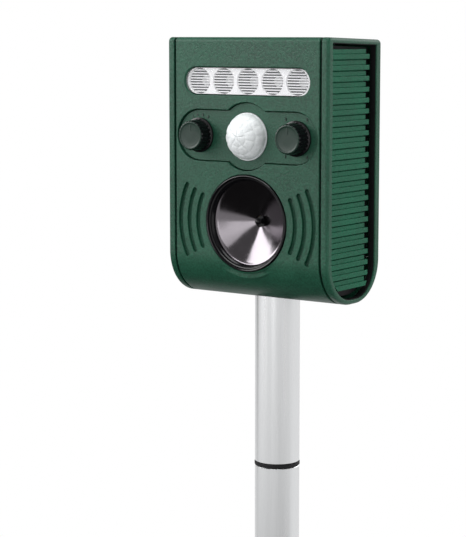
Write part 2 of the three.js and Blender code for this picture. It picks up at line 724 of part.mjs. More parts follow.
// Battery tray, the cells and the contact plates at their ends
function batteries() {
  const floor = cellY - CELL_R - GAP;
  const outer = opening.half + TRAY_WALL;
  const reach = opening.reach + TRAY_WALL;
  const tray = cut(
    box(-outer, outer, floor - TRAY_WALL, trayBack, TRAY_MIDDLE - reach, TRAY_MIDDLE + reach),
    box(
      -opening.half,
      opening.half,
      floor,
      trayBack + OVER,
      TRAY_MIDDLE - opening.reach,
      TRAY_MIDDLE + opening.reach,
    ),
  );
  const parts = [piece("battery_tray", tray, black)];
  const end = CELL_LENGTH / 2;
  for (let i = 0; i < CELL_COUNT; i++) {
    const z = TRAY_MIDDLE + (i - (CELL_COUNT - 1) / 2) * cellPitch;
    const way = i % 2 ? -1 : 1;
    const shoulder = way * (end - CELL_NUB_LENGTH);
    const can = rodX(cellY, z, CELL_R, Math.min(-way * end, shoulder), Math.max(-way * end, shoulder), 16);
    const nub = rodX(cellY, z, CELL_NUB_R, Math.min(0, way * end), Math.max(0, way * end), 8);
    parts.push(piece(`battery_${i + 1}`, can.add(nub), sleeve));
  }
  for (const [name, side] of [["left", -1], ["right", 1]]) {
    const near = side * (end + GAP);
    const far = side * (end + GAP + CONTACT_THICK);
    const plate = box(
      Math.min(near, far),
      Math.max(near, far),
      cellY - CELL_R + OVER,
      cellY + CELL_R - OVER,
      TRAY_MIDDLE - opening.reach + OVER,
      TRAY_MIDDLE + opening.reach - OVER,
    );
    parts.push(piece(`battery_contact_${name}`, plate, steel));
  }
  return parts;
}

// A screw that enters from the back: its head ends at headBack
function screwFromBack(name, x, z, headFront, length) {
  const back = headFront + SCREW_HEAD_LENGTH;
  const across = SCREW_HEAD_R * 0.6;
  const body = cut(
    join(
      rod(x, z, SCREW_HEAD_R, headFront, back, 12),
      rod(x, z, SCREW_R, headFront - length, headFront + SCREW_HEAD_LENGTH / 2, 6),
    ),
    box(x - across, x + across, back - 0.8, back + OVER, z - 0.4, z + 0.4),
    box(x - 0.4, x + 0.4, back - 0.8, back + OVER, z - across, z + across),
  );
  return piece(name, body, steel);
}

// Knob with its control's body and turning shaft
function control(name, x) {
  const back = PANEL_SINK - GAP;
  const boreEnd = -(KNOB_PROUD - KNOB_CAP);
  const flutes = [];
  for (let i = 0; i < KNOB_FLUTES * 2; i++) {
    const angle = (Math.PI * i) / KNOB_FLUTES;
    const r = i % 2 ? KNOB_GRIP_R : KNOB_GRIP_R - KNOB_FLUTE_DEPTH;
    flutes.push(new THREE.Vector2(x + r * Math.cos(angle), panelZ + r * Math.sin(angle)));
  }
  const knob = cut(
    join(alongY(flutes, -KNOB_PROUD, back), rod(x, panelZ, KNOB_R, back - KNOB_FLANGE, back, 24)),
    rod(x, panelZ, SHAFT_R + GAP, boreEnd, back + OVER, 12),
    box(x - 0.6, x + 0.6, -KNOB_PROUD - OVER, -KNOB_PROUD + 0.8, panelZ + 2, panelZ + KNOB_R + OVER),
  );
  const potFront = BOARD_Y - GAP - POT_DEPTH;
  const shaftEnd = BOARD_Y - 2 * GAP - POT_FLOOR;
  const half = POT_SIZE / 2;
  const pot = cut(
    box(x - half, x + half, potFront, BOARD_Y - GAP, panelZ - half, panelZ + half),
    rod(x, panelZ, SHAFT_R + GAP, potFront - OVER, shaftEnd + GAP, 12),
  );
  return [
    piece(`${name}_knob`, knob, knobGreen),
    piece(`${name}_shaft`, rod(x, panelZ, SHAFT_R, boreEnd + GAP, shaftEnd, 12), white),
    piece(`${name}_control`, pot, black),
  ];
}

// Motion sensor: its domed lens and the sensor can behind it
function motionSensor() {
  const rise = PANEL_SINK - GAP + DOME_PROUD;
  const sphere = (DOME_R * DOME_R + rise * rise) / (2 * rise);
  const centre = sphere - DOME_PROUD;
  const reach = THREE.MathUtils.radToDeg(Math.asin(DOME_R / sphere));
  const cap = (r, upTo) => arc(0, centre, r, -90, -90 + upTo, 5).map((p) => [Math.max(p.x, 0), p.y]);
  const flangeFront = panelFloor + GAP;
  const flangeBack = flangeFront + DOME_WALL;
  const inner = DOME_R - DOME_WALL;
  const innerReach = THREE.MathUtils.radToDeg(Math.asin(inner / (sphere - DOME_WALL)));
  const lens = turnedY(
    [
      ...cap(sphere, reach),
      [DOME_R, flangeFront],
      [DOME_R + DOME_FLANGE, flangeFront],
      [DOME_R + DOME_FLANGE, flangeBack],
      [inner, flangeBack],
      ...cap(sphere - DOME_WALL, innerReach).reverse(),
    ],
    0,
    panelZ,
    20,
  );
  const base = BOARD_Y - GAP;
  const can = join(
    rod(0, panelZ, SENSOR_R, base - SENSOR_LENGTH, base - SENSOR_RIM / 2, 14),
    rod(0, panelZ, SENSOR_R + SENSOR_RIM, base - SENSOR_RIM, base, 14),
  );
  return [piece("motion_lens", lens, pearl), piece("motion_sensor", can, steel)];
}

// Light: the clear lens, the reflector with its cups and one lamp in each cup
function light() {
  const length = LED_WINDOW_LENGTH - 2 * GAP;
  const height = LED_WINDOW_HEIGHT - 2 * GAP;
  const flangeFront = WALL + GAP;
  const flangeBack = flangeFront + LENS_FLANGE_THICK;
  const lens = join(
    alongY(stadium(0, ledZ, length, height), LENS_SINK, flangeBack),
    alongY(stadium(0, ledZ, length + 2 * LENS_FLANGE, height + 2 * LENS_FLANGE), flangeFront, flangeBack),
  );
  const mouth = flangeBack + GAP;
  const throat = mouth + REFLECTOR_DEPTH;
  let reflector = alongY(stadium(0, ledZ, LED_WINDOW_LENGTH, LED_WINDOW_HEIGHT), mouth, throat);
  const lamps = [];
  const base = BOARD_Y - GAP;
  for (let i = 0; i < LED_COUNT; i++) {
    const x = (i - (LED_COUNT - 1) / 2) * LED_PITCH;
    const slope = (CUP_R - CUP_THROAT_R) / REFLECTOR_DEPTH;
    const cup = new THREE.CylinderGeometry(
      CUP_THROAT_R - slope * OVER,
      CUP_R + slope * OVER,
      REFLECTOR_DEPTH + 2 * OVER,
      14,
    );
    reflector = cut(
      reflector,
      solid(cup.translate(x, (mouth + throat) / 2, ledZ)),
      rod(x, ledZ, CUP_THROAT_R, mouth, throat + OVER, 14),
    );
    const tip = base - LED_LENGTH;
    const dome = arc(0, tip + LED_R, LED_R, -90, 0, 3).map((p) => [Math.max(p.x, 0), p.y]);
    const lamp = turnedY([...dome, [LED_R, base], [0, base]], x, ledZ, 10);
    lamps.push(piece(`light_led_${i + 1}`, lamp, clear));
  }
  return [piece("light_lens", lens, clear), piece("light_reflector", reflector, white), ...lamps];
}

// Horn: bezel ring, gasket, mirror cone with its phase plug, and the piezo driver behind
function horn() {
  const at = (points, sides = 28) => turnedY(points, 0, HORN_RISE, sides);
  const neckBack = CONE_MOUTH_Y - GAP;
  const bezel = at([
    [CONE_MOUTH_R + 0.1, neckBack],
    [CONE_MOUTH_R + 0.1, neckBack - 1],
    [CONE_MOUTH_R + 1, 0.5],
    [BEZEL_NECK_R - 0.1, -0.5],
    [BEZEL_NECK_R + 0.5, -BEZEL_PROUD],
    [BEZEL_R - 0.5, -BEZEL_PROUD],
    [BEZEL_R, 0.5 - BEZEL_PROUD],
    [BEZEL_R, BEZEL_FLANGE_BACK],
    [BEZEL_NECK_R, BEZEL_FLANGE_BACK],
    [BEZEL_NECK_R, neckBack],
  ]);
  const gasketFront = BEZEL_FLANGE_BACK + GAP;
  const gasket = at([
    [BEZEL_NECK_R + 2 * GAP, gasketFront],
    [BEZEL_R, gasketFront],
    [BEZEL_R, gasketFront + GASKET_THICK],
    [BEZEL_NECK_R + 2 * GAP, gasketFront + GASKET_THICK],
  ]);
  const throatBack = CONE_THROAT_Y + 2;
  const cone = at([
    [CONE_MOUTH_R, CONE_MOUTH_Y],
    [CONE_THROAT_R, CONE_THROAT_Y],
    [CONE_THROAT_R, throatBack],
    [CONE_THROAT_R + CONE_WALL, throatBack],
    [CONE_THROAT_R + CONE_WALL, CONE_THROAT_Y + CONE_WALL / 2],
    [CONE_MOUTH_R, coneFlangeBack],
    [BEZEL_NECK_R, coneFlangeBack],
    [BEZEL_NECK_R, CONE_MOUTH_Y],
  ]);
  const cupFront = coneFlangeBack + GAP;
  const shoulder = cupFront + 3;
  const waist = shoulder + BEZEL_NECK_R - DRIVER_R;
  const driver = at([
    [BEZEL_NECK_R, cupFront],
    [BEZEL_NECK_R, shoulder],
    [DRIVER_R, waist],
    [DRIVER_R, DRIVER_BACK],
    [0, DRIVER_BACK],
    [0, DRIVER_BACK - DRIVER_WALL],
    [DRIVER_R - DRIVER_WALL, DRIVER_BACK - DRIVER_WALL],
    [DRIVER_R - DRIVER_WALL, waist + DRIVER_WALL / 2],
    [BEZEL_NECK_R - DRIVER_WALL, shoulder + DRIVER_WALL / 2],
    [BEZEL_NECK_R - DRIVER_WALL, cupFront],
  ]);
  const discFront = throatBack + 2;
  const discR = DRIVER_R - DRIVER_WALL - GAP;
  const plugY = CONE_THROAT_Y - PLUG_R + 0.2;
  const ball = solid(new THREE.SphereGeometry(PLUG_R, 10, 6).translate(0, plugY, HORN_RISE));
  return [
    piece("horn_bezel", bezel, black),
    piece("horn_gasket", gasket, rubber),
    piece("horn_cone", cone, mirror),
    piece("horn_plug", ball.add(rod(0, HORN_RISE, PLUG_STEM_R, plugY, discFront - GAP, 8)), black),
    piece("horn_driver", driver, black),
    piece("piezo_disc", rod(0, HORN_RISE, discR, discFront, discFront + DISC_THICK, 24), brass),
  ];
}

// Main board with its two screws and the tall parts on its back
function board() {
  const half = SCREW_R + GAP;
  let plate = box(-boardHalf, boardHalf, BOARD_Y, boardBack, boardLow, boardLow + BOARD_HEIGHT);
  for (const side of [-1, 1]) {
    plate = plate.subtract(rod(side * boardScrewX, boardScrewZ, half, BOARD_Y - OVER, boardBack + OVER, 8));
  }
  const back = boardBack + GAP;
  return [
    piece("main_board", plate, boardGreen),
    piece("controller_chip", box(-20, -8, back, back + 2, panelZ - 6, panelZ + 6), black),
    piece("step_up_coil", rod(12, panelZ - 4, 5, back, back + 8, 14), black),
    piece("reservoir_capacitor", rod(27, panelZ + 4, 4, back, back + 12, 14), black),
    screwFromBack("board_screw_left", -boardScrewX, boardScrewZ, back, BOARD_SCREW_LENGTH),
    screwFromBack("board_screw_right", boardScrewX, boardScrewZ, back, BOARD_SCREW_LENGTH),
  ];
}

// Power button with its switch, and the charging socket with its rubber flap
function ports() {
  const x = -PORT_SPACING;
  const flangeFront = buttonFlangeBack - BUTTON_FLANGE;
  const button = join(
    rod(x, PORT_RISE, BUTTON_R, flangeFront, HEAD_DEPTH + BUTTON_PROUD, 16),
    rod(x, PORT_RISE, BUTTON_R + 1, flangeFront, buttonFlangeBack, 16),
  );
  const half = SWITCH_SIZE / 2;
  const switchBody = box(
    x - half,
    x + half,
    switchBack - SWITCH_DEPTH,
    switchBack,
    PORT_RISE - half,
    PORT_RISE + half,
  );
  const usbX = PORT_SPACING;
  const mouth = coverFront;
  const usb = cut(
    box(
      usbX - USB_WIDTH / 2,
      usbX + USB_WIDTH / 2,
      mouth - USB_DEPTH,
      mouth,
      PORT_RISE - USB_HEIGHT / 2,
      PORT_RISE + USB_HEIGHT / 2,
    ),
    box(
      usbX - USB_WIDTH / 2 + USB_WALL,
      usbX + USB_WIDTH / 2 - USB_WALL,
      mouth - USB_DEPTH + OVER,
      mouth + OVER,
      PORT_RISE - USB_HEIGHT / 2 + USB_WALL,
      PORT_RISE + USB_HEIGHT / 2 - USB_WALL,
    ),
  );
  const lid = swingLid(
    usbX,
    FLAP_WIDTH / 2,
    flap.low,
    flap.high,
    flap.front,
    flap.back,
    FLAP_PIN_R,
    FLAP_PIN_LENGTH,
  );
  return [
    piece("power_button", button, rubber),
    piece("power_switch", switchBody, black),
    piece("usb_socket", usb, steel),
    piece("usb_flap", lid, rubber),
  ];
}

// Pole: two tubes with a joiner between them, and the ground spike
function pole() {
  const tube = (z0, z1) =>
    turnedZ(
      [
        [TUBE_R - TUBE_WALL, z0],
        [TUBE_R, z0],
        [TUBE_R, z1],
        [TUBE_R - TUBE_WALL, z1],
      ],
      0,
      0,
    );
  const plugR = TUBE_R - TUBE_WALL - GAP;
  const bore = plugR - JOINER_WALL;
  const ringTop = ringZ + JOINER_RING;
  const joiner = turnedZ(
    [
      [bore, ringZ - JOINER_REACH],
      [plugR, ringZ - JOINER_REACH],
      [plugR, ringZ],
      [JOINER_RING_R, ringZ],
      [JOINER_RING_R, ringTop],
      [plugR, ringTop],
      [plugR, ringTop + JOINER_REACH],
      [bore, ringTop + JOINER_REACH],
    ],
    0,
    0,
  );
  return [
    piece("lower_tube", tube(lowerTubeZ, lowerTubeZ + LOWER_TUBE_VISIBLE), alloy),
    piece("tube_joiner", joiner, black),
    piece("upper_tube", tube(upperTubeZ, headZ + TUBE_INSERT), alloy),
    piece("ground_spike", spike(plugR, bore), black),
  ];
}

// Ground spike: a cross of two tapering blades under a collar, with a hollow spigot for the lower tube
function spike(plugR, bore) {
  const taper = [
    [-SPIKE_BLADE_HALF, SPIKE_COLLAR / 2],
    [-SPIKE_BLADE_HALF, -SPIKE_LENGTH / 4],
    [-SPIKE_TIP, -SPIKE_LENGTH],
    [SPIKE_TIP, -SPIKE_LENGTH],
    [SPIKE_BLADE_HALF, -SPIKE_LENGTH / 4],
    [SPIKE_BLADE_HALF, SPIKE_COLLAR / 2],
  ].map(([u, z]) => new THREE.Vector2(u, z));
  const half = SPIKE_BLADE_THICK / 2;
  const spigotTop = lowerTubeZ + JOINER_REACH;
  return join(
    alongX(taper, -half, half),
    alongY(taper, -half, half),
    rodZ(0, 0, SPIKE_COLLAR_R, 0, SPIKE_COLLAR, 24),
    cut(
      rodZ(0, 0, plugR, SPIKE_COLLAR / 2, spigotTop),
      rodZ(0, 0, bore, SPIKE_COLLAR + JOINER_WALL, spigotTop + OVER),
    ),
  );
}

// Friction liner between the head's socket and the upper tube
function socketLiner() {
  const inner = TUBE_R + GAP;
  const z0 = WALL + GAP;
  const z1 = TUBE_INSERT - GAP;
  const outline = [
    [inner, z0],
    [inner + LINER_THICK, z0],
    [inner + LINER_THICK, z1],
    [inner, z1],
  ];
  return piece("socket_liner", turnedZ(outline, 0, POLE_BACK), rubber);
}

// A piece and its mirror image for the other side of the head
function bothSides(name, body, material) {
  const right = piece(`right_${name}`, body, material);
  const left = piece(`left_${name}`, body, material);
  left.scale.x = -1;
  return [left, right];
}

// Head: everything that turns on the pole, in its own frame with y = 0 at the front and z = 0 underneath
function head() {
  const group = new THREE.Group();
  group.add(
    piece("front_shell", frontShell(), caseGreen),
    ...bothSides("side_frame", sideFrame(), caseGreen),
    ...bothSides("side_seal", sideSeal(), rubber),
    ...bothSides("louvre_panel", louvrePanel(), caseGreen),
    piece("rear_cover", rearCover(), caseGreen),
    ...batteryDoor(),
    ...batteries(),
    ...solarPanel(),
    ...light(),
    ...control("sensitivity", -KNOB_SPACING),
    ...control("frequency", KNOB_SPACING),
    ...motionSensor(),
    ...horn(),
    ...board(),
    ...ports(),
    socketLiner(),
  );
  for (const [side, x] of [["left", -bossX], ["right", bossX]]) {
    for (const [level, z] of [["lower", bossHeights[0]], ["upper", bossHeights[1]]]) {
      group.add(screwFromBack(`cover_screw_${level}_${side}`, x, z, screwSeat + GAP, SCREW_LENGTH));
    }
  }
  group.position.set(0, -POLE_BACK, headZ);
  return group;
}

const repeller = new THREE.Group();
repeller.add(...pole(), head());
export default repeller;
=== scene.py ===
"""Looks of the solar ultrasonic pest repeller: pieces, finishes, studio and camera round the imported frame.

Shapes are given in millimetres in the head's own frame (y = 0 at the front face, z = 0 at the underside and
x = 0 in the middle) or, for the pole, in the row's frame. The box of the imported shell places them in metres.
"""
import json
import math

import bmesh
import bpy
from mathutils import Matrix, Vector


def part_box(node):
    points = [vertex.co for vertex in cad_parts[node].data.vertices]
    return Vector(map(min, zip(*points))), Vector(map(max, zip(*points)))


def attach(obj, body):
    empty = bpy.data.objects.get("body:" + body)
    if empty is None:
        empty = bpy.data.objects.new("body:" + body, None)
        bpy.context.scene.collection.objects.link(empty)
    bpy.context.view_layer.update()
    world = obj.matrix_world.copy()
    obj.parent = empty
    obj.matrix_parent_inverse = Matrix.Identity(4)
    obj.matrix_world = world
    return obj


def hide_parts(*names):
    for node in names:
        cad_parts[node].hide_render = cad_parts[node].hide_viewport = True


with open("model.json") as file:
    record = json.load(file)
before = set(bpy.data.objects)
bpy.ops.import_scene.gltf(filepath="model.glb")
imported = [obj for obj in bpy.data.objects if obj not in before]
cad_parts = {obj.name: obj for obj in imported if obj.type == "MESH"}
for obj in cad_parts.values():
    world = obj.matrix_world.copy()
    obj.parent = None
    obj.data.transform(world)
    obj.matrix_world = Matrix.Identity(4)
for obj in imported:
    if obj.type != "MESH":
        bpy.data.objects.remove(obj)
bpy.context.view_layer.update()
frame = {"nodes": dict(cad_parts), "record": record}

MM = 0.001
shell_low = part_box("front_shell")[0]
HEAD = Vector((0, shell_low.y, shell_low.z))
ROW = Vector((0, 0, 0))


def middle(node):
    """Middle of a CAD node in the head's own frame, in millimetres."""
    low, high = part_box(node)
    return ((low + high) / 2 - HEAD) / MM


def reach(node, axis):
    """Lowest and highest place of a CAD node along one axis of the head's own frame, in millimetres."""
    low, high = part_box(node)
    return (low[axis] - HEAD[axis]) / MM, (high[axis] - HEAD[axis]) / MM


# Case, in millimetres
DEPTH = reach("front_shell", 1)[1]
HALF_BAND = reach("front_shell", 0)[1]
SIDE_INNER = HALF_BAND + 1.3
SIDE_OUTER = reach("right_side_frame", 0)[1]
HEIGHT = 144.3
TOP_DROP = 1.5
WALL = 2.4
FRONT_LOW_R = 25
BACK_LOW_R = 23
TOP_R = 2.4
SIDE_EDGE_R = 1.8
GAP = 0.3
EDGE = 0.4

# Front face
LIGHT_Z = middle("light_lens").z
LIGHT_LENGTH = 82.5
LIGHT_HEIGHT = 15.4
CUPS = 5
CUP_PITCH = 16.1
CUP_R = 7.1
KNOB_X = middle("frequency_knob").x
PANEL_Z = middle("motion_lens").z
PANEL_SINK = 1.5
PANEL_HALF = 14.25
BULGE_R = 18.65
DOME_R = 13
LENSLET = 0.38
DOME_PROUD = 8.6
HORN_Z = middle("horn_bezel").z
BEZEL_R = 26.5
CONE_MOUTH = (23, 3.9)
CONE_THROAT = (3.2, 14)
VENT_RADII = (32.3, 38.3, 44.3)
VENT_HALF_ANGLE = 26
VENT_WIDTH = 2.7

# Louvres
WINDOW = {"front": 4.4, "back": 5.2, "top": 2.8, "bottom": 2.6}
SLAT_PITCH = 5.9
SLAT_SLOT = 0.6
SLAT_TOP = 6.4
PANEL_INNER = reach("right_louvre_panel", 0)[0]

# Solar panel: half sizes of its frame and of the sheet in it
SOLAR_X = 44
SOLAR_Y = 19
SHEET_X = 41.5
SHEET_Y = 16.5
SOLAR_CELLS = 8

# Pole, in the row's frame
POLE_Y = -HEAD.y / MM
TUBE_R = 12.7


# ---------------------------------------------------------------- outlines

def arc(u, v, radius, start, end, steps):
    """Points of an arc, both ends included; angles in degrees."""
    angles = [math.radians(start + (end - start) * i / steps) for i in range(steps + 1)]
    return [(u + radius * math.cos(a), v + radius * math.sin(a)) for a in angles]


def case_outline(inset=0, front=None, back=None, top=None, bottom=None):
    """The case's side outline in (y, z), moved inwards on each of its four sides."""
    front, back, top, bottom = (inset if side is None else side for side in (front, back, top, bottom))
    rear = DEPTH - back

    def ceiling(y):
        return HEIGHT - top - TOP_DROP * y / DEPTH

    front_low = max(FRONT_LOW_R - max(front, bottom), 0.6)
    rear_low = max(BACK_LOW_R - max(back, bottom), 0.6)
    rear_high = max(TOP_R - max(back, top), 0.6)
    front_high = max(TOP_R - max(front, top), 0.6)
    return [
        *arc(front + front_low, bottom + front_low, front_low, 180, 270, 24),
        *arc(rear - rear_low, bottom + rear_low, rear_low, 270, 360, 20),
        *arc(rear - rear_high, ceiling(rear - rear_high) - rear_high, rear_high, 0, 90, 8),
        *arc(front + front_high, ceiling(front + front_high) - front_high, front_high, 90, 180, 8),
    ]


def stadium(z, length, height, grow=0):
    """A bar outline with round ends, in (x, z)."""
    r = height / 2
    half = length / 2 - r
    return arc(half, z, r + grow, -90, 90, 20) + arc(-half, z, r + grow, 90, 270, 20)


def panel_outline(grow=0):
    """The control panel: a stadium round the knobs with a round bulge in the middle."""
    half = PANEL_HALF + grow
    bulge = BULGE_R + grow
    corner = math.degrees(math.asin(half / bulge))
    return [
        *arc(KNOB_X, PANEL_Z, half, -90, 90, 20),
        *arc(0, PANEL_Z, bulge, corner, 180 - corner, 16),
        *arc(-KNOB_X, PANEL_Z, half, 90, 270, 20),
        *arc(0, PANEL_Z, bulge, 180 + corner, 360 - corner, 16),
    ]


def vent_outline(radius, side, grow=0):
    """A groove that follows a circle round the horn, with round ends."""
    half = VENT_WIDTH / 2 + grow
    centre = 0 if side > 0 else 180
    low, high = centre - VENT_HALF_ANGLE, centre + VENT_HALF_ANGLE
    (high_x, high_z), = arc(0, HORN_Z, radius, high, high, 1)[:1]
    (low_x, low_z), = arc(0, HORN_Z, radius, low, low, 1)[:1]
    return [
        *arc(0, HORN_Z, radius + half, low, high, 16),
        *arc(high_x, high_z, half, high, high + 180, 8)[1:-1],
        *arc(0, HORN_Z, radius - half, high, low, 16),
        *arc(low_x, low_z, half, low + 180, low + 360, 8)[1:-1],
    ]


def rounded(points, radius, steps=4):
    """A polygon with each corner rounded, as far as its two edges allow."""
    out = []
    count = len(points)
    for i, point in enumerate(points):
        here = Vector(point)
        before = Vector(points[i - 1]) - here
        after = Vector(points[(i + 1) % count]) - here
        cut = min(radius, 0.48 * before.length, 0.48 * after.length)
        a = here + before.normalized() * cut
        b = here + after.normalized() * cut
        for k in range(steps + 1):
            t = k / steps
            out.append(tuple(a * (1 - t) ** 2 + here * 2 * t * (1 - t) + b * t ** 2))
    return out


def rectangle(u0, u1, v0, v1, radius=0, steps=6):
    corners = [(u0, v0), (u1, v0), (u1, v1), (u0, v1)]
    return rounded(corners, radius, steps) if radius else corners


def centred(half_x, half_y, radius=0, steps=6):
    """A rectangle round the origin, given by its half sizes."""
    return rectangle(-half_x, half_x, -half_y, half_y, radius, steps)


# ---------------------------------------------------------------- meshes

def mesh_object(name, points, faces, origin=HEAD):
    """An object at the origin whose mesh is given in millimetres from origin."""
    mesh = bpy.data.meshes.new(name)
    mesh.from_pydata([origin + Vector(p) * MM for p in points], [], faces)
    form = bmesh.new()
    form.from_mesh(mesh)
    bmesh.ops.remove_doubles(form, verts=form.verts, dist=1e-7)
    bmesh.ops.dissolve_degenerate(form, edges=form.edges, dist=1e-8)
    bmesh.ops.recalc_face_normals(form, faces=form.faces)
    form.to_mesh(mesh)
    form.free()
    piece = bpy.data.objects.new(name, mesh)
    bpy.context.scene.collection.objects.link(piece)
    return piece


def loft(name, loops, origin=HEAD):
    """A closed body through loops of equal length, with a flat cap at each end."""
    count = len(loops[0])
    points = [p for ring in loops for p in ring]
    faces = [list(range(count)), list(range(len(points) - count, len(points)))]
    for row in range(len(loops) - 1):
        a = row * count
        for i in range(count):
            j = (i + 1) % count
            faces.append([a + i, a + j, a + count + j, a + count + i])
    return mesh_object(name, points, faces, origin)


def along_x(name, outline, x0, x1, origin=HEAD):
    return loft(name, [[(x, y, z) for y, z in outline] for x in (x0, x1)], origin)


def along_y(name, outline, y0, y1, origin=HEAD):
    return loft(name, [[(x, y, z) for x, z in outline] for y in (y0, y1)], origin)


def along_z(name, outline, z0, z1):
    return loft(name, [[(x, y, z) for x, y in outline] for z in (z0, z1)])


def through_x(name, outline, steps):
    """A body along X from an outline that changes: steps are (x, the outline's argument)."""
    return loft(name, [[(x, y, z) for y, z in outline(change)] for x, change in steps])


def through_y(name, outline, steps):
    """A body along Y from an outline that grows: steps are (y, grow)."""
    return loft(name, [[(x, y, z) for x, z in outline(grow)] for y, grow in steps])


def through_z(name, outline, steps):
    """A body along Z from an outline that grows: steps are (z, grow)."""
    return loft(name, [[(x, y, z) for x, y in outline(grow)] for z, grow in steps])


def lathe(name, profile, at=(0, 0), axis="y", steps=96, origin=HEAD):
    """A turned body: the closed profile is (radius, distance along the axis), at is the axis's place."""
    rings = []
    for k in range(steps):
        a = 2 * math.pi * k / steps
        c, s = math.cos(a), math.sin(a)
        if axis == "x":
            rings.append([(h, at[0] + r * c, at[1] + r * s) for r, h in profile])
        elif axis == "y":
            rings.append([(at[0] + r * c, h, at[1] + r * s) for r, h in profile])
        else:
            rings.append([(at[0] + r * c, at[1] + r * s, h) for r, h in profile])
    count = len(profile)
    points = [p for ring in rings for p in ring]
    faces = []
    for k in range(steps):
        a, b = k * count, (k + 1) % steps * count
        for i in range(count):
            j = (i + 1) % count
            if profile[i][0] < 1e-9 and profile[j][0] < 1e-9:
                continue
            faces.append([a + i, a + j, b + j, b + i])
    return mesh_object(name, points, faces, origin)


def baked(piece):
    """Applies the modifiers of a piece to its mesh."""
    graph = bpy.context.evaluated_depsgraph_get()
    mesh = bpy.data.meshes.new_from_object(piece.evaluated_get(graph))
    piece.modifiers.clear()
    piece.data = mesh
    return piece


def combine(piece, operation, *others):
    """Joins, cuts or intersects a body with others, which are used up."""
    for other in others:
        step = piece.modifiers.new("with " + other.name, "BOOLEAN")
        step.operation = operation
        step.object = other
        step.solver = "MANIFOLD"
    baked(piece)
    for other in others:
        bpy.data.objects.remove(other)
    return piece


def soften(piece, width, segments):
    """Rounds the edges of a body that turn by more than 35 degrees."""
    step = piece.modifiers.new("soft edges", "BEVEL")
    step.width = width * MM
    step.segments = segments
    step.limit_method = "ANGLE"
    step.angle_limit = math.radians(35)
    return baked(piece)


def quarter(radius, steps):
    """Points of a quarter round as (distance from the face, distance from the side)."""
    angles = [math.radians(90 * k / steps) for k in range(steps + 1)]
    return [(radius * (1 - math.cos(a)), radius * (1 - math.sin(a))) for a in angles]


def lip(depth, edge, floor=0):
    """Steps of a cutter that rounds the mouth of a recess and, with floor, the corner at its bottom."""
    steps = [(-1, edge), *quarter(edge, 4)]
    if floor:
        steps += [(depth - v, -u) for u, v in quarter(floor, 3)]
    else:
        steps.append((depth, 0))
    return steps


def edge_steps(low, high, edge):
    """Places along a bar and the inset there, with both ends rounded."""
    rise = quarter(edge, 3)
    return [(low + u, v) for u, v in rise] + [(high - u, v) for u, v in reversed(rise)]


# ---------------------------------------------------------------- finishes

def noise(tree, size, detail, stretch=(1, 1, 1)):
    """A noise texture whose features are about size millimetres across, stretched along the row's axes."""
    nodes, links = tree.nodes, tree.links
    place = nodes.new("ShaderNodeTexCoord")
    scale = nodes.new("ShaderNodeMapping")
    scale.inputs["Scale"].default_value = stretch
    texture = nodes.new("ShaderNodeTexNoise")
    texture.inputs["Scale"].default_value = 1 / (size * MM)
    texture.inputs["Detail"].default_value = detail
    links.new(place.outputs["Object"], scale.inputs["Vector"])
    links.new(scale.outputs["Vector"], texture.inputs["Vector"])
    return texture.outputs["Fac"]


def ramp(tree, value, low, high, low_color, high_color):
    """Colours a value from low_color to high_color between two levels."""
    node = tree.nodes.new("ShaderNodeValToRGB")
    node.color_ramp.elements[0].position = low
    node.color_ramp.elements[1].position = high
    node.color_ramp.elements[0].color = (*low_color, 1)
    node.color_ramp.elements[1].color = (*high_color, 1)
    tree.links.new(value, node.inputs["Fac"])
    return node.outputs["Color"]


def spread(tree, value, low, high):
    """Maps a noise value to a range."""
    node = tree.nodes.new("ShaderNodeMapRange")
    node.inputs["From Min"].default_value = 0.3
    node.inputs["From Max"].default_value = 0.7
    node.inputs["To Min"].default_value = low
    node.inputs["To Max"].default_value = high
    tree.links.new(value, node.inputs["Value"])
    return node.outputs["Result"]


def finish(name, color, shade=0.2, blotch=12, roughness=(0.4, 0.5), grain=0.5, relief=0.02, stretch=(1, 1, 1),
           metallic=0, specular=0.5, ior=1.5, coat=0, alpha=1, subsurface=0):
    """A finish with blotches and mottle in its colour, uneven gloss and a fine relief at real scale."""
    material = bpy.data.materials.new(name)
    material.use_nodes = True
    tree = material.node_tree
    shader = tree.nodes["Principled BSDF"]
    fine = noise(tree, grain, 3, stretch)
    wide = noise(tree, blotch, 4, stretch)
    mix = tree.nodes.new("ShaderNodeMath")
    mix.operation = "MULTIPLY_ADD"
    mix.inputs[1].default_value = 0.7
    half = tree.nodes.new("ShaderNodeMath")
    half.operation = "MULTIPLY"
    half.inputs[1].default_value = 0.3
    tree.links.new(wide, half.inputs[0])
    tree.links.new(fine, mix.inputs[0])
    tree.links.new(half.outputs[0], mix.inputs[2])
    dark = tuple(c * (1 - shade) for c in color)
    light = tuple(min(c * (1 + shade), 1) for c in color)
    tree.links.new(ramp(tree, mix.outputs[0], 0.36, 0.64, dark, light), shader.inputs["Base Color"])
    tree.links.new(spread(tree, wide, *roughness), shader.inputs["Roughness"])
    bump = tree.nodes.new("ShaderNodeBump")
    bump.inputs["Strength"].default_value = 1
    bump.inputs["Distance"].default_value = relief * MM
    tree.links.new(fine, bump.inputs["Height"])
    tree.links.new(bump.outputs["Normal"], shader.inputs["Normal"])
    shader.inputs["Metallic"].default_value = metallic
    shader.inputs["Specular IOR Level"].default_value = specular
    shader.inputs["IOR"].default_value = ior
    shader.inputs["Coat Weight"].default_value = coat
    shader.inputs["Coat Roughness"].default_value = 0.08
    shader.inputs["Alpha"].default_value = alpha
    shader.inputs["Subsurface Weight"].default_value = subsurface
    shader.inputs["Subsurface Radius"].default_value = (0.004, 0.004, 0.004)
    return material


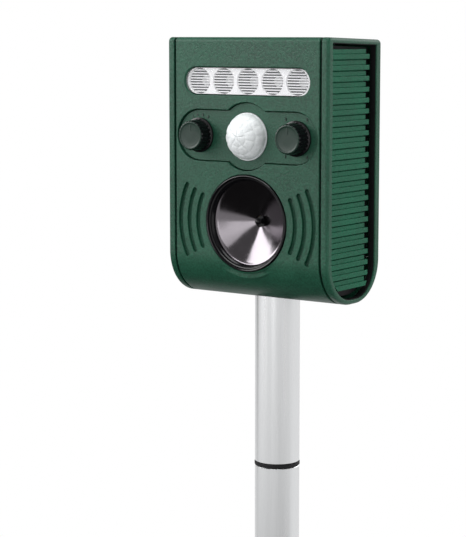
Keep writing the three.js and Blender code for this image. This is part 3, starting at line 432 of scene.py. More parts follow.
FINISHES = {
    "case_green": finish("case_green", (0.012, 0.072, 0.041), 0.32, 25, (0.36, 0.46), 1.0, 0.16,
                         specular=0.32),
    "slat_green": finish("slat_green", (0.009, 0.098, 0.052), 0.3, 25, (0.42, 0.52), 0.8, 0.1, specular=0.16),
    "knob_green": finish("knob_green", (0.006, 0.025, 0.016), 0.2, 8, (0.28, 0.36), 0.3, 0.01, specular=0.35),
    "black_gloss": finish("black_gloss", (0.004, 0.004, 0.005), 0.2, 10, (0.14, 0.22), 0.6, 0.004,
                          specular=0.3, coat=0.1),
    "black_plastic": finish("black_plastic", (0.009, 0.009, 0.010), 0.2, 15, (0.45, 0.58), 0.5, 0.03,
                            specular=0.25),
    "black_rubber": finish("black_rubber", (0.008, 0.008, 0.009), 0.2, 10, (0.65, 0.8), 0.3, 0.02,
                           specular=0.3),
    "clear_plastic": finish("clear_plastic", (0.9, 0.93, 0.95), 0.03, 10, (0.05, 0.1), 3, 0, alpha=0.08),
    "pearl_plastic": finish("pearl_plastic", (0.80, 0.83, 0.84), 0.06, 3, (0.28, 0.4), 0.8, 0.01,
                            subsurface=0.2),
    "white_plastic": finish("white_plastic", (0.90, 0.89, 0.91), 0.03, 8, (0.2, 0.3), 0.6, 0.003),
    "dark_mirror": finish("dark_mirror", (0.19, 0.175, 0.19), 0.05, 6, (0.12, 0.18), 0.4, 0.0005, metallic=1),
    "satin_aluminium": finish("satin_aluminium", (0.93, 0.94, 0.95), 0.02, 3, (0.26, 0.34), 0.4, 0.002,
                              (1, 1, 0.02), metallic=1),
    "steel": finish("steel", (0.55, 0.56, 0.58), 0.08, 2, (0.24, 0.36), 0.2, 0.004, metallic=1),
    "brass": finish("brass", (0.62, 0.42, 0.14), 0.08, 3, (0.25, 0.4), 0.2, 0.004, metallic=1),
    "board_green": finish("board_green", (0.010, 0.105, 0.035), 0.15, 5, (0.3, 0.4), 0.4, 0.006, coat=0.3),
    "solar_blue": finish("solar_blue", (0.005, 0.009, 0.030), 0.12, 12, (0.18, 0.24), 2, 0, coat=0.3),
    "cell_sleeve": finish("cell_sleeve", (0.030, 0.20, 0.065), 0.1, 6, (0.25, 0.35), 0.4, 0.004, coat=0.4),
    # Painted shade: a dark grey that stands for the shade inside the reflector's cups.
    "cup_shade_grey": finish("cup_shade_grey", (0.03, 0.027, 0.031), 0.1, 4, (0.3, 0.4), 0.5, 0.004),
    # Painted shade: a darker copy of the case green for the raised dial marks, standing for their shading.
    "mark_shade_green": finish("mark_shade_green", (0.006, 0.022, 0.015), 0.2, 8, (0.4, 0.5), 0.4, 0.01),
    "mark_pale": finish("mark_pale", (0.55, 0.58, 0.54), 0.06, 4, (0.4, 0.5), 0.3, 0.006),
}


def dress(piece, slot, body="head", replaces=(), material=None, angle=32):
    """Gives a piece its finish (the slot's own, unless another material is named), smooth shading and body,
    and hides the CAD nodes that it stands for.
    """
    mesh = piece.data
    if not any(mesh.materials):
        mesh.materials.clear()
        mesh.materials.append(FINISHES[material or slot])
    for face in mesh.polygons:
        face.use_smooth = True
    mesh.set_sharp_from_angle(angle=math.radians(angle))
    steady = piece.modifiers.new("steady normals", "WEIGHTED_NORMAL")
    steady.keep_sharp = True
    steady.weight = 80
    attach(piece, body)
    if replaces:
        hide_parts(*replaces)
    return piece


# ---------------------------------------------------------------- case

def band(name):
    """The case's full outline as a solid between the two side frames."""
    return through_x(name, case_outline, edge_steps(-HALF_BAND, HALF_BAND, EDGE))


def on_top(piece):
    """Moves a body made round the origin, level, onto the sloping top face."""
    slope = Matrix.Rotation(-math.atan2(TOP_DROP, DEPTH), 4, "X")
    place = HEAD + Vector((0, DEPTH / 2, HEIGHT - TOP_DROP / 2)) * MM
    piece.data.transform(Matrix.Translation(place) @ slope @ Matrix.Translation(-HEAD))
    return piece


def front_shell():
    """Front, top and underside of the case in one band, with everything that is sunk into it."""
    shell = band("case_shell")
    boss = [(0, 9), (0, 0), (27.1, 0), (27.5, 0.15), (27.7, 0.5), (27.7, 1.1), (30, 1.1), (30.3, 1.25),
            (30.4, 1.6), (30.4, 9)]
    combine(shell, "UNION", lathe("boss", boss, (0, HORN_Z)))
    cutters = [
        along_x("inside", case_outline(WALL), -HALF_BAND - 1, HALF_BAND + 1),
        along_x("rear_opening", rectangle(DEPTH - WALL - GAP, DEPTH + 2, BACK_LOW_R, HEIGHT + 2),
                -HALF_BAND - 1, HALF_BAND + 1),
        through_y("light", lambda g: stadium(LIGHT_Z, LIGHT_LENGTH, LIGHT_HEIGHT, g), lip(WALL + 1, 0.5)),
        through_y("panel", panel_outline, lip(PANEL_SINK, 0.35, 0.25)),
        panel_trench(),
        lathe("dome_hole", [(0, -1), (DOME_R + GAP, -1), (DOME_R + GAP, 6), (0, 6)], (0, PANEL_Z)),
        lathe("bezel_seat", [(0, -1), (BEZEL_R + 0.5, -1), (BEZEL_R + 0.5, 0), (BEZEL_R + GAP, 0.25),
                             (BEZEL_R + GAP, 2.1), (0, 2.1)], (0, HORN_Z)),
        lathe("horn_hole", [(0, -1), (25, -1), (25, 12), (0, 12)], (0, HORN_Z)),
        lathe("pole_hole", [(0, -2), (TUBE_R + 0.8, -2), (TUBE_R + 0.8, 0), (TUBE_R + GAP, 0.5),
                            (TUBE_R + GAP, 5), (0, 5)], (0, POLE_Y), "z"),
        on_top(through_z("solar_seat", lambda g: centred(SOLAR_X + GAP + g, SOLAR_Y + GAP + g, 1),
                         [(-2, 0), (-0.3, 0), (-0.1, 0.1), (0, 0.3), (1, 0.3)])),
    ]
    for side in (-1, 1):
        cutters.append(lathe("shaft_hole", [(0, -1), (3.3, -1), (3.3, 6), (0, 6)], (side * KNOB_X, PANEL_Z)))
        for radius in VENT_RADII:
            cutters.append(vent(radius, side))
    combine(shell, "DIFFERENCE", *cutters)
    return dress(shell, "case_green", replaces=["front_shell"])


def vent(radius, side):
    """The cutter of one curved groove beside the horn."""
    return through_y("vent", lambda grow: vent_outline(radius, side, grow), lip(1.8, 0.2, 0.5))


def panel_trench():
    """The fine groove round the floor of the control panel."""
    trench = through_y("trench", panel_outline, [(0.5, 0), (PANEL_SINK + 1, 0)])
    kept = through_y("kept", panel_outline, [(0, -0.55), (PANEL_SINK + 2, -0.55)])
    return combine(trench, "DIFFERENCE", kept)


def window_outline(grow=0):
    return case_outline(0, *(WINDOW[side] - grow for side in ("front", "back", "top", "bottom")))


def mirrored(piece, side):
    """The piece itself on the right, its mirror image on the left."""
    if side < 0:
        piece.data.transform(Matrix.Scale(-1, 4, Vector((1, 0, 0))))
        piece.data.flip_normals()
    return piece


def side_frame(name, side):
    """The rounded outer ring of one side, and a thin black ring inside its window that is painted shade."""
    rows = [(SIDE_INNER + u, inset) for u, inset in ((0, EDGE), (0.1, 0.14), (EDGE, 0))]
    rows += [(SIDE_OUTER - v, u) for u, v in quarter(SIDE_EDGE_R, 12)]
    ring = through_x(f"{name}_side_ring", case_outline, rows)
    edge = 0.45
    steps = [(SIDE_OUTER + 1, edge)]
    steps += [(SIDE_OUTER - u, v) for u, v in quarter(edge, 4)]
    steps.append((SIDE_INNER - 1, 0))
    combine(ring, "DIFFERENCE", through_x("window", window_outline, steps))
    dress(mirrored(ring, side), "case_green", replaces=[f"{name}_side_frame"])
    # A thin black ring round the inside of the window: painted shade for the dark slot at its edges.
    x0, x1 = SIDE_INNER + 0.4, SIDE_OUTER - 0.75
    shade_lining = along_x(f"{name}_window_lining", window_outline(-0.02), x0, x1)
    combine(shade_lining, "DIFFERENCE", along_x("hole", window_outline(-0.3), x0 - 1, x1 + 1))
    return dress(mirrored(shade_lining, side), "black_plastic")


def side_seal(name, side):
    """The black seal in the groove beside a side frame."""
    x0, x1 = reach("right_side_seal", 0)
    outer = along_x(f"{name}_seal", case_outline(1.3), x0, x1)
    combine(outer, "DIFFERENCE", along_x("hole", case_outline(2.5), x0 - 1, x1 + 1))
    return dress(mirrored(outer, side), "black_rubber", replaces=[f"{name}_side_seal"])


def louvre_panel(name, side):
    """Slats in pairs: the lower one of each pair is prouder and reaches further back. A black sheet behind
    them is painted shade.
    """
    root, upper, lower = SIDE_OUTER - 2.9, SIDE_OUTER - 1.5, SIDE_OUTER - 0.8
    front = WINDOW["front"] + GAP
    upper_end, lower_end = DEPTH - 14.2, DEPTH - 11.4
    height = (SLAT_PITCH - SLAT_SLOT) / 2
    start = PANEL_INNER + 2
    top = HEIGHT - SLAT_TOP
    count = int((top - 5.5) // SLAT_PITCH)
    outline = [(start, top)]
    tails = []
    for i in range(count):
        high = top - i * SLAT_PITCH
        middle_z, low, after = high - height, high - 2 * height, high - SLAT_PITCH
        outline += [(upper, high), (upper, middle_z + 0.25), (upper - 0.35, middle_z), (lower, middle_z),
                    (lower, low), (root, low), (root, after)]
        section = rectangle(root - 1.4, lower, low, middle_z, 0.3, 3)
        tails.append(along_y("tail", section, upper_end - 1, lower_end - 0.2))
    outline.append((start, top - count * SLAT_PITCH))
    body = along_y(f"{name}_louvres", rounded(outline, 0.3, 3), front - 1, upper_end)
    combine(body, "UNION", *tails)
    keep = case_outline(0, front, DEPTH - lower_end, WINDOW["top"], 4.2)
    combine(body, "INTERSECT", along_x("keep", keep, PANEL_INNER, SIDE_OUTER + 1))
    plate = case_outline(4.2)
    combine(body, "UNION", along_x("plate", plate, PANEL_INNER, PANEL_INNER + 1.4))
    dress(mirrored(body, side), "case_green", replaces=[f"{name}_louvre_panel"], material="slat_green")
    # Black sheet behind the slats: painted shade, standing for the shadow in the gaps between them.
    shade_liner = along_x(f"{name}_louvre_liner", case_outline(4.3), PANEL_INNER + 1.45, PANEL_INNER + 1.9)
    return dress(mirrored(shade_liner, side), "black_plastic")


# ---------------------------------------------------------------- front

def light():
    """Clear lens, white reflector with round cups, each cup lined in dark grey as painted shade, and the ribs
    that spread the light of each cup.
    """
    def outline(grow):
        return stadium(LIGHT_Z, LIGHT_LENGTH - 1.1, LIGHT_HEIGHT - 1.1, grow)

    lens = through_y("light_window", outline, [(1.5, 0), (0.6, 0), (0.4, -0.1), (0.3, -0.35)])
    dress(lens, "clear_plastic", replaces=["light_lens"])
    front = 1.9
    pitch = 1.45
    block = through_y("light_reflector_block", outline, [(9.5, 0), (front, 0)])
    ribs, holes, cups = [], [], []
    for k in range(CUPS):
        x = (k - (CUPS - 1) / 2) * CUP_PITCH
        hole = [(0, front - 1), (CUP_R, front - 1), (CUP_R, front), (CUP_R - 0.15, front + 1), (3, 8), (0, 8)]
        holes.append(lathe("cup", hole, (x, LIGHT_Z), steps=64))
        # A thin dark grey shell inside each cup, which is painted shade.
        shade_liner = [(CUP_R - 0.2, front + 1.05), (3, 8), (2.8, 8), (CUP_R - 0.5, front + 1.1)]
        cups.append(lathe("shade_liner", shade_liner, (x, LIGHT_Z), steps=64))
        for n in range(-4, 5):
            z = n * pitch
            half = math.sqrt((CUP_R - 0.05) ** 2 - (abs(z) + 0.4) ** 2)
            section = rounded([(front + 0.1, LIGHT_Z + z - 0.36), (front + 0.7, LIGHT_Z + z - 0.3),
                               (front + 0.7, LIGHT_Z + z + 0.3), (front + 0.1, LIGHT_Z + z + 0.36)], 0.25, 3)
            ribs.append(along_x("rib", section, x - half, x + half))
    combine(block, "DIFFERENCE", *holes)
    dress(block, "white_plastic", replaces=["light_reflector"])
    dress(merged("light_cup_shades", cups), "white_plastic", material="cup_shade_grey")
    return dress(merged("light_ribs", ribs), "white_plastic")


def merged(name, parts):
    """Several bodies as one piece."""
    form = bmesh.new()
    for part in parts:
        form.from_mesh(part.data)
        bpy.data.objects.remove(part)
    mesh = bpy.data.meshes.new(name)
    form.to_mesh(mesh)
    form.free()
    piece = bpy.data.objects.new(name, mesh)
    bpy.context.scene.collection.objects.link(piece)
    return piece


def knob(name, side):
    """A fluted knob with a flange, a dished face and a raised pointer."""
    x = side * KNOB_X
    rows = [(1.2, 9.4, 0), (1.05, 9.6, 0), (0.5, 9.6, 0), (0.25, 9.5, 0), (0.15, 9.2, 0), (0.1, 8.9, 0),
            (0, 8.75, 0.2), (-0.3, 8.6, 0.5), (-6.5, 8.15, 0.5), (-7.2, 8.0, 0.45), (-7.6, 7.75, 0.25),
            (-7.8, 7.3, 0.1), (-7.8, 6.9, 0), (-7.62, 6.5, 0), (-7.55, 6, 0), (-7.55, 3, 0)]
    steps, flutes = 288, 24
    loops = []
    for y, radius, depth in rows:
        ring = []
        for k in range(steps):
            a = 2 * math.pi * k / steps
            groove = max(0, math.cos(flutes * a)) ** 0.6
            r = radius - depth * groove
            ring.append((x + r * math.cos(a), y, PANEL_Z + r * math.sin(a)))
        loops.append(ring)
    body = f"{name}_knob_body"
    dial = loft(f"{name}_dial", loops)
    for material in ("knob_green", "black_gloss"):
        dial.data.materials.append(FINISHES[material])
    for face in dial.data.polygons:
        away = math.hypot(face.center.x - HEAD.x - x * MM, face.center.z - HEAD.z - PANEL_Z * MM) / MM
        face.material_index = 0 if away < 7.6 else 1
    dress(dial, "knob_green", body, [f"{name}_knob"])
    section = rectangle(x - 0.4, x + 0.4, PANEL_Z + 2.6, PANEL_Z + 6.2, 0.35, 4)
    return dress(along_y(f"{name}_pointer", section, -7.75, -7.4), "knob_green", body)


def dial_ticks(name, side, turns):
    """Raised ticks round a knob, each one a little longer than the one before. Their darker green is painted
    shade.
    """
    x = side * KNOB_X
    ticks = []
    for k, turn in enumerate(turns):
        a = math.radians(90 - turn)
        along = Vector((math.cos(a), math.sin(a)))
        across = Vector((-along.y, along.x))
        inner, outer, half = 10.5, 11.4 + 0.35 * k, 0.25
        corners = [along * r + across * w for r, w in rectangle(inner, outer, -half, half)]
        section = [(x + p.x, PANEL_Z + p.y) for p in corners]
        ticks.append(along_y("tick", rounded(section, 0.2, 3), PANEL_SINK + 0.1, PANEL_SINK - 0.3))
    return dress(merged(f"{name}_ticks", ticks), "case_green", material="mark_shade_green")


def dial_numbers(name, side, turns):
    """Small raised numbers round a knob, in a darker green that is painted shade."""
    ring = 12.1
    numbers = []
    for k, turn in enumerate(turns):
        a = math.radians(90 - turn)
        text = bpy.data.curves.new("number", "FONT")
        text.body = str(k + 1)
        text.size = 2.6 * MM
        text.extrude = 0.15 * MM
        text.bevel_depth = 0.04 * MM
        text.align_x = "CENTER"
        text.align_y = "CENTER"
        figure = bpy.data.objects.new("number", text)
        bpy.context.scene.collection.objects.link(figure)
        mesh = bpy.data.meshes.new_from_object(figure)
        place = Vector((side * KNOB_X + ring * math.cos(a), PANEL_SINK - 0.15, PANEL_Z + ring * math.sin(a)))
        mesh.transform(Matrix.Translation(HEAD + place * MM) @ Matrix.Rotation(math.radians(90), 4, "X"))
        bpy.data.objects.remove(figure)
        number = bpy.data.objects.new("number", mesh)
        bpy.context.scene.collection.objects.link(number)
        numbers.append(number)
    return dress(merged(f"{name}_numbers", numbers), "case_green", material="mark_shade_green")


def motion_lens():
    """The pearly dome: three rings of small bulging lenslets."""
    rise = DOME_PROUD + 1.2
    sphere = (DOME_R ** 2 + rise ** 2) / (2 * rise)
    centre = sphere - DOME_PROUD
    edge = math.asin(DOME_R / sphere)
    rings, around = 48, 120
    bands = ((0.0, 0.30, 5), (0.30, 0.62, 9), (0.62, 0.94, 13))
    loops = []
    for row in range(rings + 1):
        t = 1 - row / rings * 0.985
        ring = []
        for k in range(around):
            u = k / around
            bulge = 0
            for low, high, cells in bands:
                if low <= t < high:
                    v = (t - low) / (high - low) * 2 - 1
                    w = (u * cells + 0.37 * cells) % 1 * 2 - 1
                    bulge = LENSLET * (1 - v ** 4) * (1 - w ** 4)
            r = sphere + bulge - LENSLET
            a = edge * t
            spin = 2 * math.pi * u
            ring.append((r * math.sin(a) * math.cos(spin), centre - r * math.cos(a),
                         PANEL_Z + r * math.sin(a) * math.sin(spin)))
        loops.append(ring)
    circle = arc(0, PANEL_Z, DOME_R, 0, 360, around)[:-1]
    skirt = [[(x, y, z) for x, z in circle] for y in (4.6, 1.3)]
    return dress(loft("sensor_dome", skirt + loops), "pearl_plastic", replaces=["motion_lens"], angle=50)


def horn():
    """Stepped black bezel, dark mirror cone with its throat, and the round plug in it."""
    bezel = [(23.1, 3.6), (23.1, 2.7), (23.3, 2.35), (23.8, 1.7), (24.1, 1.5), (24.2, 0.95), (24.4, 0.6),
             (24.95, 0.5), (25.1, 0.75), (25.25, 0.45), (25.3, -0.15), (25.5, -0.52), (25.85, -0.7),
             (26.15, -0.64), (26.4, -0.35), (26.5, 0), (26.5, 0.9), (24.7, 0.9), (24.7, 3.6)]
    dress(lathe("horn_ring", bezel, (0, HORN_Z), steps=160), "black_gloss", replaces=["horn_bezel"])
    (mouth_r, mouth_y), (throat_r, throat_y) = CONE_MOUTH, CONE_THROAT
    cone = [(mouth_r, mouth_y)]
    for k in range(1, 12):
        t = k / 12
        sag = 0.35 * math.sin(math.pi * t)
        cone.append((mouth_r + (throat_r - mouth_r) * t, mouth_y + (throat_y - mouth_y) * t + sag))
    cone += [(throat_r, throat_y), (throat_r - 0.1, throat_y + 0.4), (throat_r - 0.1, 16), (4.1, 16),
             (4.1, 14.5), (mouth_r, mouth_y + 0.9), (24.7, mouth_y + 0.9), (24.7, mouth_y)]
    dress(lathe("horn_mirror", cone, (0, HORN_Z), steps=160), "dark_mirror", replaces=["horn_cone"])
    ball = [(0, 10.4)] + [(1.9 * math.sin(math.radians(a)), 12.3 - 1.9 * math.cos(math.radians(a)))
                          for a in range(15, 151, 15)]
    ball += [(0.9, 14.9), (2.9, 14.9), (2.9, 15.4), (0.9, 15.4), (0.9, 17.7), (0, 17.7)]
    return dress(lathe("horn_ball", ball, (0, HORN_Z), steps=48), "black_gloss", replaces=["horn_plug"])


# ---------------------------------------------------------------- back

def rear_cover():
    """Rear cover with the seats of the battery door, the screws, the button and the flap."""
    cover = band("back_cover")
    keep = along_x("keep", rectangle(DEPTH - WALL, DEPTH + 1, BACK_LOW_R + GAP, HEIGHT + 1),
                   -HALF_BAND - 1, HALF_BAND + 1)
    combine(cover, "INTERSECT", keep)
    (x0, x1), (z0, z1) = door_reach()

    def opening(grow):
        return rectangle(x0 - GAP - grow, x1 + GAP + grow, z0 - GAP - grow, z1 + GAP + grow, 1.3 + grow)

    (u0, u1), (w0, w1) = flap_reach()

    def flap_seat(grow):
        return rectangle(u0 - GAP - grow, u1 + GAP + grow, w0 - GAP - grow, w1 + GAP + grow, 1.3 + grow)

    button = middle("power_button")
    (s0, s1), (t0, t1) = reach("usb_socket", 0), reach("usb_socket", 2)
    socket_section = rectangle(s0 - GAP, s1 + GAP, t0 - GAP, t1 + GAP, 0.4)
    cutters = [
        along_y("socket_hole", socket_section, DEPTH - WALL - 1, DEPTH + 1),
        through_y("door_seat", opening, mouth_steps(WALL + 1)),
        through_y("flap_seat", flap_seat, mouth_steps(1.7)),
        lathe("button_hole", [(0, DEPTH + 1), (4.3, DEPTH + 1), (4.3, DEPTH), (3.9, DEPTH - 0.4),
                              (3.9, DEPTH - 4), (0, DEPTH - 4)], (button.x, button.z)),
    ]
    for name in SCREWS:
        at = middle(name)
        seat = [(0, DEPTH + 1), (3.35, DEPTH + 1), (3.35, DEPTH), (3, DEPTH - 0.35), (3, DEPTH - 2),
                (0, DEPTH - 2)]
        cutters.append(lathe("screw_seat", seat, (at.x, at.z)))
    combine(cover, "DIFFERENCE", *cutters)
    return dress(cover, "case_green", replaces=["rear_cover"])


SCREWS = [f"cover_screw_{level}_{side}" for level in ("lower", "upper") for side in ("left", "right")]


def mouth_steps(depth):
    """Steps of a cutter that enters from the back."""
    edge = 0.35
    return [(DEPTH + 1, edge), *((DEPTH - u, v) for u, v in quarter(edge, 3)), (DEPTH - depth, 0)]


def door_reach():
    x0, x1 = reach("battery_door", 0)
    return (x0 + 1.4, x1 - 1.4), reach("battery_door", 2)


def flap_reach():
    x0, x1 = reach("usb_flap", 0)
    return (x0 + 1, x1 - 1), reach("usb_flap", 2)


def lid(name, span, heights, depths, radius, edge):
    """A flat lid with round corners and a soft outer edge."""
    (x0, x1), (z0, z1), (y0, y1) = span, heights, depths
    steps = [(y0, 0), *((y1 - v, -u) for u, v in quarter(edge, 3))]
    return through_y(name, lambda g: rectangle(x0 - g, x1 + g, z0 - g, z1 + g, max(radius + g, 0.2)), steps)


def battery_door():
    """Battery door with grip grooves and its captive screw."""
    span, heights = door_reach()
    depths = reach("battery_door", 1)
    door = lid("battery_lid", span, heights, depths, 1, 0.35)
    at = middle("battery_door_screw")
    back = depths[1]
    seat = [(0, back + 1), (3.3, back + 1), (3.3, back), (3, back - 0.3), (3, back - 1.1), (0, back - 1.1)]
    cutters = [lathe("seat", seat, (at.x, at.z))]
    for k in range(6):
        z = heights[0] + 6 + k * 2.4
        section = rounded([(back + 0.5, z - 0.8), (back + 0.5, z + 0.8), (back - 0.55, z + 0.25),
                           (back - 0.55, z - 0.25)], 0.2, 3)
        cutters.append(along_x("groove", section, -11 + 0.6 * k, 11 - 0.6 * k))
    combine(door, "DIFFERENCE", *cutters)
    end = reach("battery_door", 0)[1]
    axis = (sum(depths) / 2, heights[0] + 0.9)
    combine(door, "UNION", lathe("pins", [(0, -end), (0.6, -end), (0.6, end), (0, end)], axis, "x", 24))
    dress(door, "case_green", "battery_door_body", ["battery_door"])
    return cross_screw("battery_lid_screw", at.x, at.z, back, 0.8, "battery_door_body",
                       "battery_door_screw", 3.6)


def cross_screw(name, x, z, back, head, body, node, length):
    """A screw with a rounded head and a cross recess."""
    profile = [(0, back - length), (1, back - length), (1.2, back - length + 0.4), (1.2, back - head),
               (2.7, back - head), (2.7, back - 0.35), (2.6, back - 0.15), (2.3, back - 0.03), (0, back)]
    screw = lathe(name, profile, (x, z), steps=48)
    depth = min(0.8, head * 0.7)
    arms = []
    for wide, tall in ((1.5, 0.32), (0.32, 1.5)):
        mouth = rectangle(x - wide, x + wide, z - tall, z + tall)
        base = rectangle(x - wide * 0.6, x + wide * 0.6, z - tall * 0.7, z + tall * 0.7)
        loops = [[(u, y, w) for u, w in loop] for y, loop in ((back + 0.5, mouth), (back - depth, base))]
        arms.append(loft("arm", loops))
    combine(screw, "DIFFERENCE", *arms)
    return dress(screw, "steel", body, [node])


def cover_screws():
    for name in SCREWS:
        at = middle(name)
        front, back = reach(name, 1)
        cross_screw(name + "_cross", at.x, at.z, back, 1.7, "head", name, back - front)


def ports():
    """Rubber power button and the rubber flap of the charging socket."""
    at = middle("power_button")
    front, back = reach("power_button", 1)
    profile = [(0, front), (4.6, front), (4.6, front + 0.8), (3.6, front + 0.8), (3.6, back - 0.7),
               (3.45, back - 0.3), (3.1, back - 0.06), (2.6, back), (1.9, back - 0.12), (1, back - 0.2),
               (0, back - 0.22)]
    button = lathe("soft_button", profile, (at.x, at.z), steps=64)
    dress(button, "black_rubber", "power_button_body", ["power_button"])
    span, heights = flap_reach()
    depths = reach("usb_flap", 1)
    flap = lid("soft_flap", span, heights, depths, 1, 0.3)
    back = depths[1]
    centre = middle("usb_flap").x
    grooves = []
    for k in range(3):
        z = heights[1] - 1.5 - k * 0.9
        section = rounded([(back + 0.5, z - 0.3), (back + 0.5, z + 0.3), (back - 0.25, z)], 0.1, 2)
        grooves.append(along_x("groove", section, centre - 3.5, centre + 3.5))
    combine(flap, "DIFFERENCE", *grooves)
    return dress(flap, "black_rubber", "usb_flap_body", ["usb_flap"])


def batteries():
    """Three cells: a printed sleeve with a pale band, steel ends and a nub."""
    for k in range(1, 4):
        name = f"battery_{k}"
        at = middle(name)
        x0, x1 = reach(name, 0)
        way = 1 if k % 2 else -1
        radius = 7.1
        half = (x1 - x0) / 2
        profile = [(0, -half), (4.5, -half), (6.3, -half), (6.6, -half + 0.3), (6.9, -half + 0.3),
                   (radius, -half + 0.6), (radius, half - 13), (radius, half - 9), (radius, half - 1.6),
                   (6.8, half - 1.25), (5.6, half - 1.3), (5.4, half - 1), (2.8, half - 1), (2.7, half - 0.2),
                   (2.5, half), (0, half)]
        cell = lathe(f"cell_{k}", [(r, (x0 + x1) / 2 + way * h) for r, h in profile], (at.y, at.z), "x", 64)
        for material in ("cell_sleeve", "mark_pale", "steel"):
            cell.data.materials.append(FINISHES[material])
        for face in cell.data.polygons:
            along = way * ((face.center.x - HEAD.x) / MM - (x0 + x1) / 2)
            off = math.hypot(face.center.y - HEAD.y - at.y * MM, face.center.z - HEAD.z - at.z * MM) / MM
            if off < 5.5:
                face.material_index = 2
            elif half - 13 < along < half - 9:
                face.material_index = 1
        dress(cell, "cell_sleeve", replaces=[name])


# ---------------------------------------------------------------- top

def solar_frame():
    """The panel's frame, with soft edges outside and inside."""
    outer = [(-1.7, 0), (-0.35, 0), (-0.12, -0.1), (0, -0.35)]
    inner = [(-3, 0), (-0.3, 0), (-0.1, 0.08), (0, 0.3), (1, 0.3)]
    rim = through_z("solar_rim", lambda g: centred(SOLAR_X + g, SOLAR_Y + g, 1), outer)
    hole = through_z("hole", lambda g: centred(SOLAR_X - 2.2 + g, SOLAR_Y - 2.2 + g, 0.6), inner)
    combine(rim, "DIFFERENCE", hole)
    return dress(on_top(rim), "black_plastic", replaces=["solar_panel_frame"])


def solar_sheet():
    """The sheet under the cover: a row of dark cells with fine fingers and two bars of silver."""
    sheet = along_z("solar_sheet", centred(SHEET_X, SHEET_Y), -1.7, -1.2)
    dress(on_top(sheet), "solar_blue", replaces=["solar_cells"], material="black_plastic")
    tiles, lines = [], []
    pitch = 82 / SOLAR_CELLS
    for k in range(SOLAR_CELLS):
        x = (k - (SOLAR_CELLS - 1) / 2) * pitch
        x0, x1 = x - pitch / 2, x + pitch / 2
        tiles.append(along_z("tile", rectangle(x0 + 0.35, x1 - 0.35, -15.9, 15.9, 0.8, 3), -1.2, -1.12))
        for y in (-8, 8):
            lines.append(along_z("bar", rectangle(x0 + 0.1, x1 - 0.1, y - 0.25, y + 0.25), -1.13, -1.08))
        for n in range(9):
            y = -14.4 + n * 3.6
            lines.append(along_z("finger", rectangle(x0 + 0.6, x1 - 0.6, y - 0.05, y + 0.05), -1.13, -1.1))
    dress(on_top(merged("solar_tiles", tiles)), "solar_blue")
    return dress(on_top(merged("solar_lines", lines)), "steel")


def solar_cover():
    cover = through_z("solar_window", lambda g: centred(SHEET_X + g, SHEET_Y + g),
                      [(-0.8, 0), (-0.25, 0), (-0.1, -0.2)])
    return dress(on_top(cover), "clear_plastic", replaces=["solar_cover"])


# ---------------------------------------------------------------- pole

def pole():
    """Two aluminium tubes with a black ring between them, and the ground spike."""
    for node in ("lower_tube", "upper_tube"):
        low, high = (v.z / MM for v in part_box(node))
        r, bore, edge = TUBE_R, TUBE_R - 1, 0.25
        profile = [(bore + edge, low), (r - edge, low), (r, low + edge), (r, high - edge), (r - edge, high),
                   (bore + edge, high), (bore, high - edge), (bore, low + edge)]
        tube = lathe(node + "_satin", profile, axis="z", steps=128, origin=ROW)
        dress(tube, "satin_aluminium", "stake", [node])
    ring_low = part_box("lower_tube")[1].z / MM + GAP
    ring_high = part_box("upper_tube")[0].z / MM - GAP
    low, high = (v.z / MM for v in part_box("tube_joiner"))
    profile = [(9.2, low), (10.8, low), (11.2, low + 0.6), (11.2, ring_low), (12.6, ring_low),
               (12.9, ring_low + 0.3), (12.9, ring_high - 0.3), (12.6, ring_high), (11.2, ring_high),
               (11.2, high - 0.6), (10.8, high), (9.2, high)]
    joiner = lathe("joiner_ring", profile, axis="z", steps=128, origin=ROW)
    dress(joiner, "black_plastic", "stake", ["tube_joiner"])
    return spike()


def spike():
    """Cross-shaped spike round a tapered core, under a round collar."""
    low, top = (v.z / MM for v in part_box("ground_spike"))
    blade = [(-11, 3), (-11, -36), (-9.6, -52), (-1.6, low + 1), (0, low), (1.6, low + 1), (9.6, -52),
             (11, -36), (11, 3)]
    half = 2
    body = along_x("stake_spike", blade, -half, half, ROW)
    combine(body, "UNION", along_y("blade", blade, -half, half, ROW))
    soften(body, 0.5, 2)
    core = [(0, 1), (6.5, 1), (5.5, -40), (1.8, low + 12), (0, low + 10)]
    collar = [(0, 0), (15.4, 0), (16, 0.6), (16, 4.6), (15.4, 5.6), (14.2, 6), (11.2, 6), (11.2, top - 0.6),
              (10.8, top), (9.2, top), (9.2, 8), (0, 8)]
    combine(body, "UNION", lathe("core", core, axis="z", steps=48, origin=ROW),
            lathe("collar", collar, axis="z", steps=96, origin=ROW))
    return dress(body, "black_plastic", "stake", ["ground_spike"])


# ---------------------------------------------------------------- studio

def world_step(tree, value, low, high):
    """A smooth step between two (value, level) pairs."""
    node = tree.nodes.new("ShaderNodeMapRange")
    node.interpolation_type = "SMOOTHSTEP"
    node.inputs["From Min"].default_value, node.inputs["To Min"].default_value = low
    node.inputs["From Max"].default_value, node.inputs["To Max"].default_value = high
    tree.links.new(value, node.inputs["Value"])
    return node.outputs["Result"]


def softbox(name, azimuth, elevation, distance, width, height, radiance):
    """A rectangular light seen from the head at an azimuth (+ to the viewer's right) and an elevation."""
    a, e = math.radians(azimuth), math.radians(elevation)
    aim = HEAD + Vector((0, 0, 60)) * MM
    way = Vector((math.sin(a) * math.cos(e), -math.cos(a) * math.cos(e), math.sin(e)))
    lamp = bpy.data.lights.new(name, "AREA")
    lamp.shape = "RECTANGLE"
    lamp.size = width
    lamp.size_y = height
    lamp.energy = radiance * math.pi * width * height
    piece = bpy.data.objects.new(name, lamp)
    piece.location = aim + way * distance
    piece.rotation_mode = "QUATERNION"
    piece.rotation_quaternion = (aim - piece.location).to_track_quat("-Z", "Y")
    bpy.context.scene.collection.objects.link(piece)
    return piece


SURROUND = 0.74


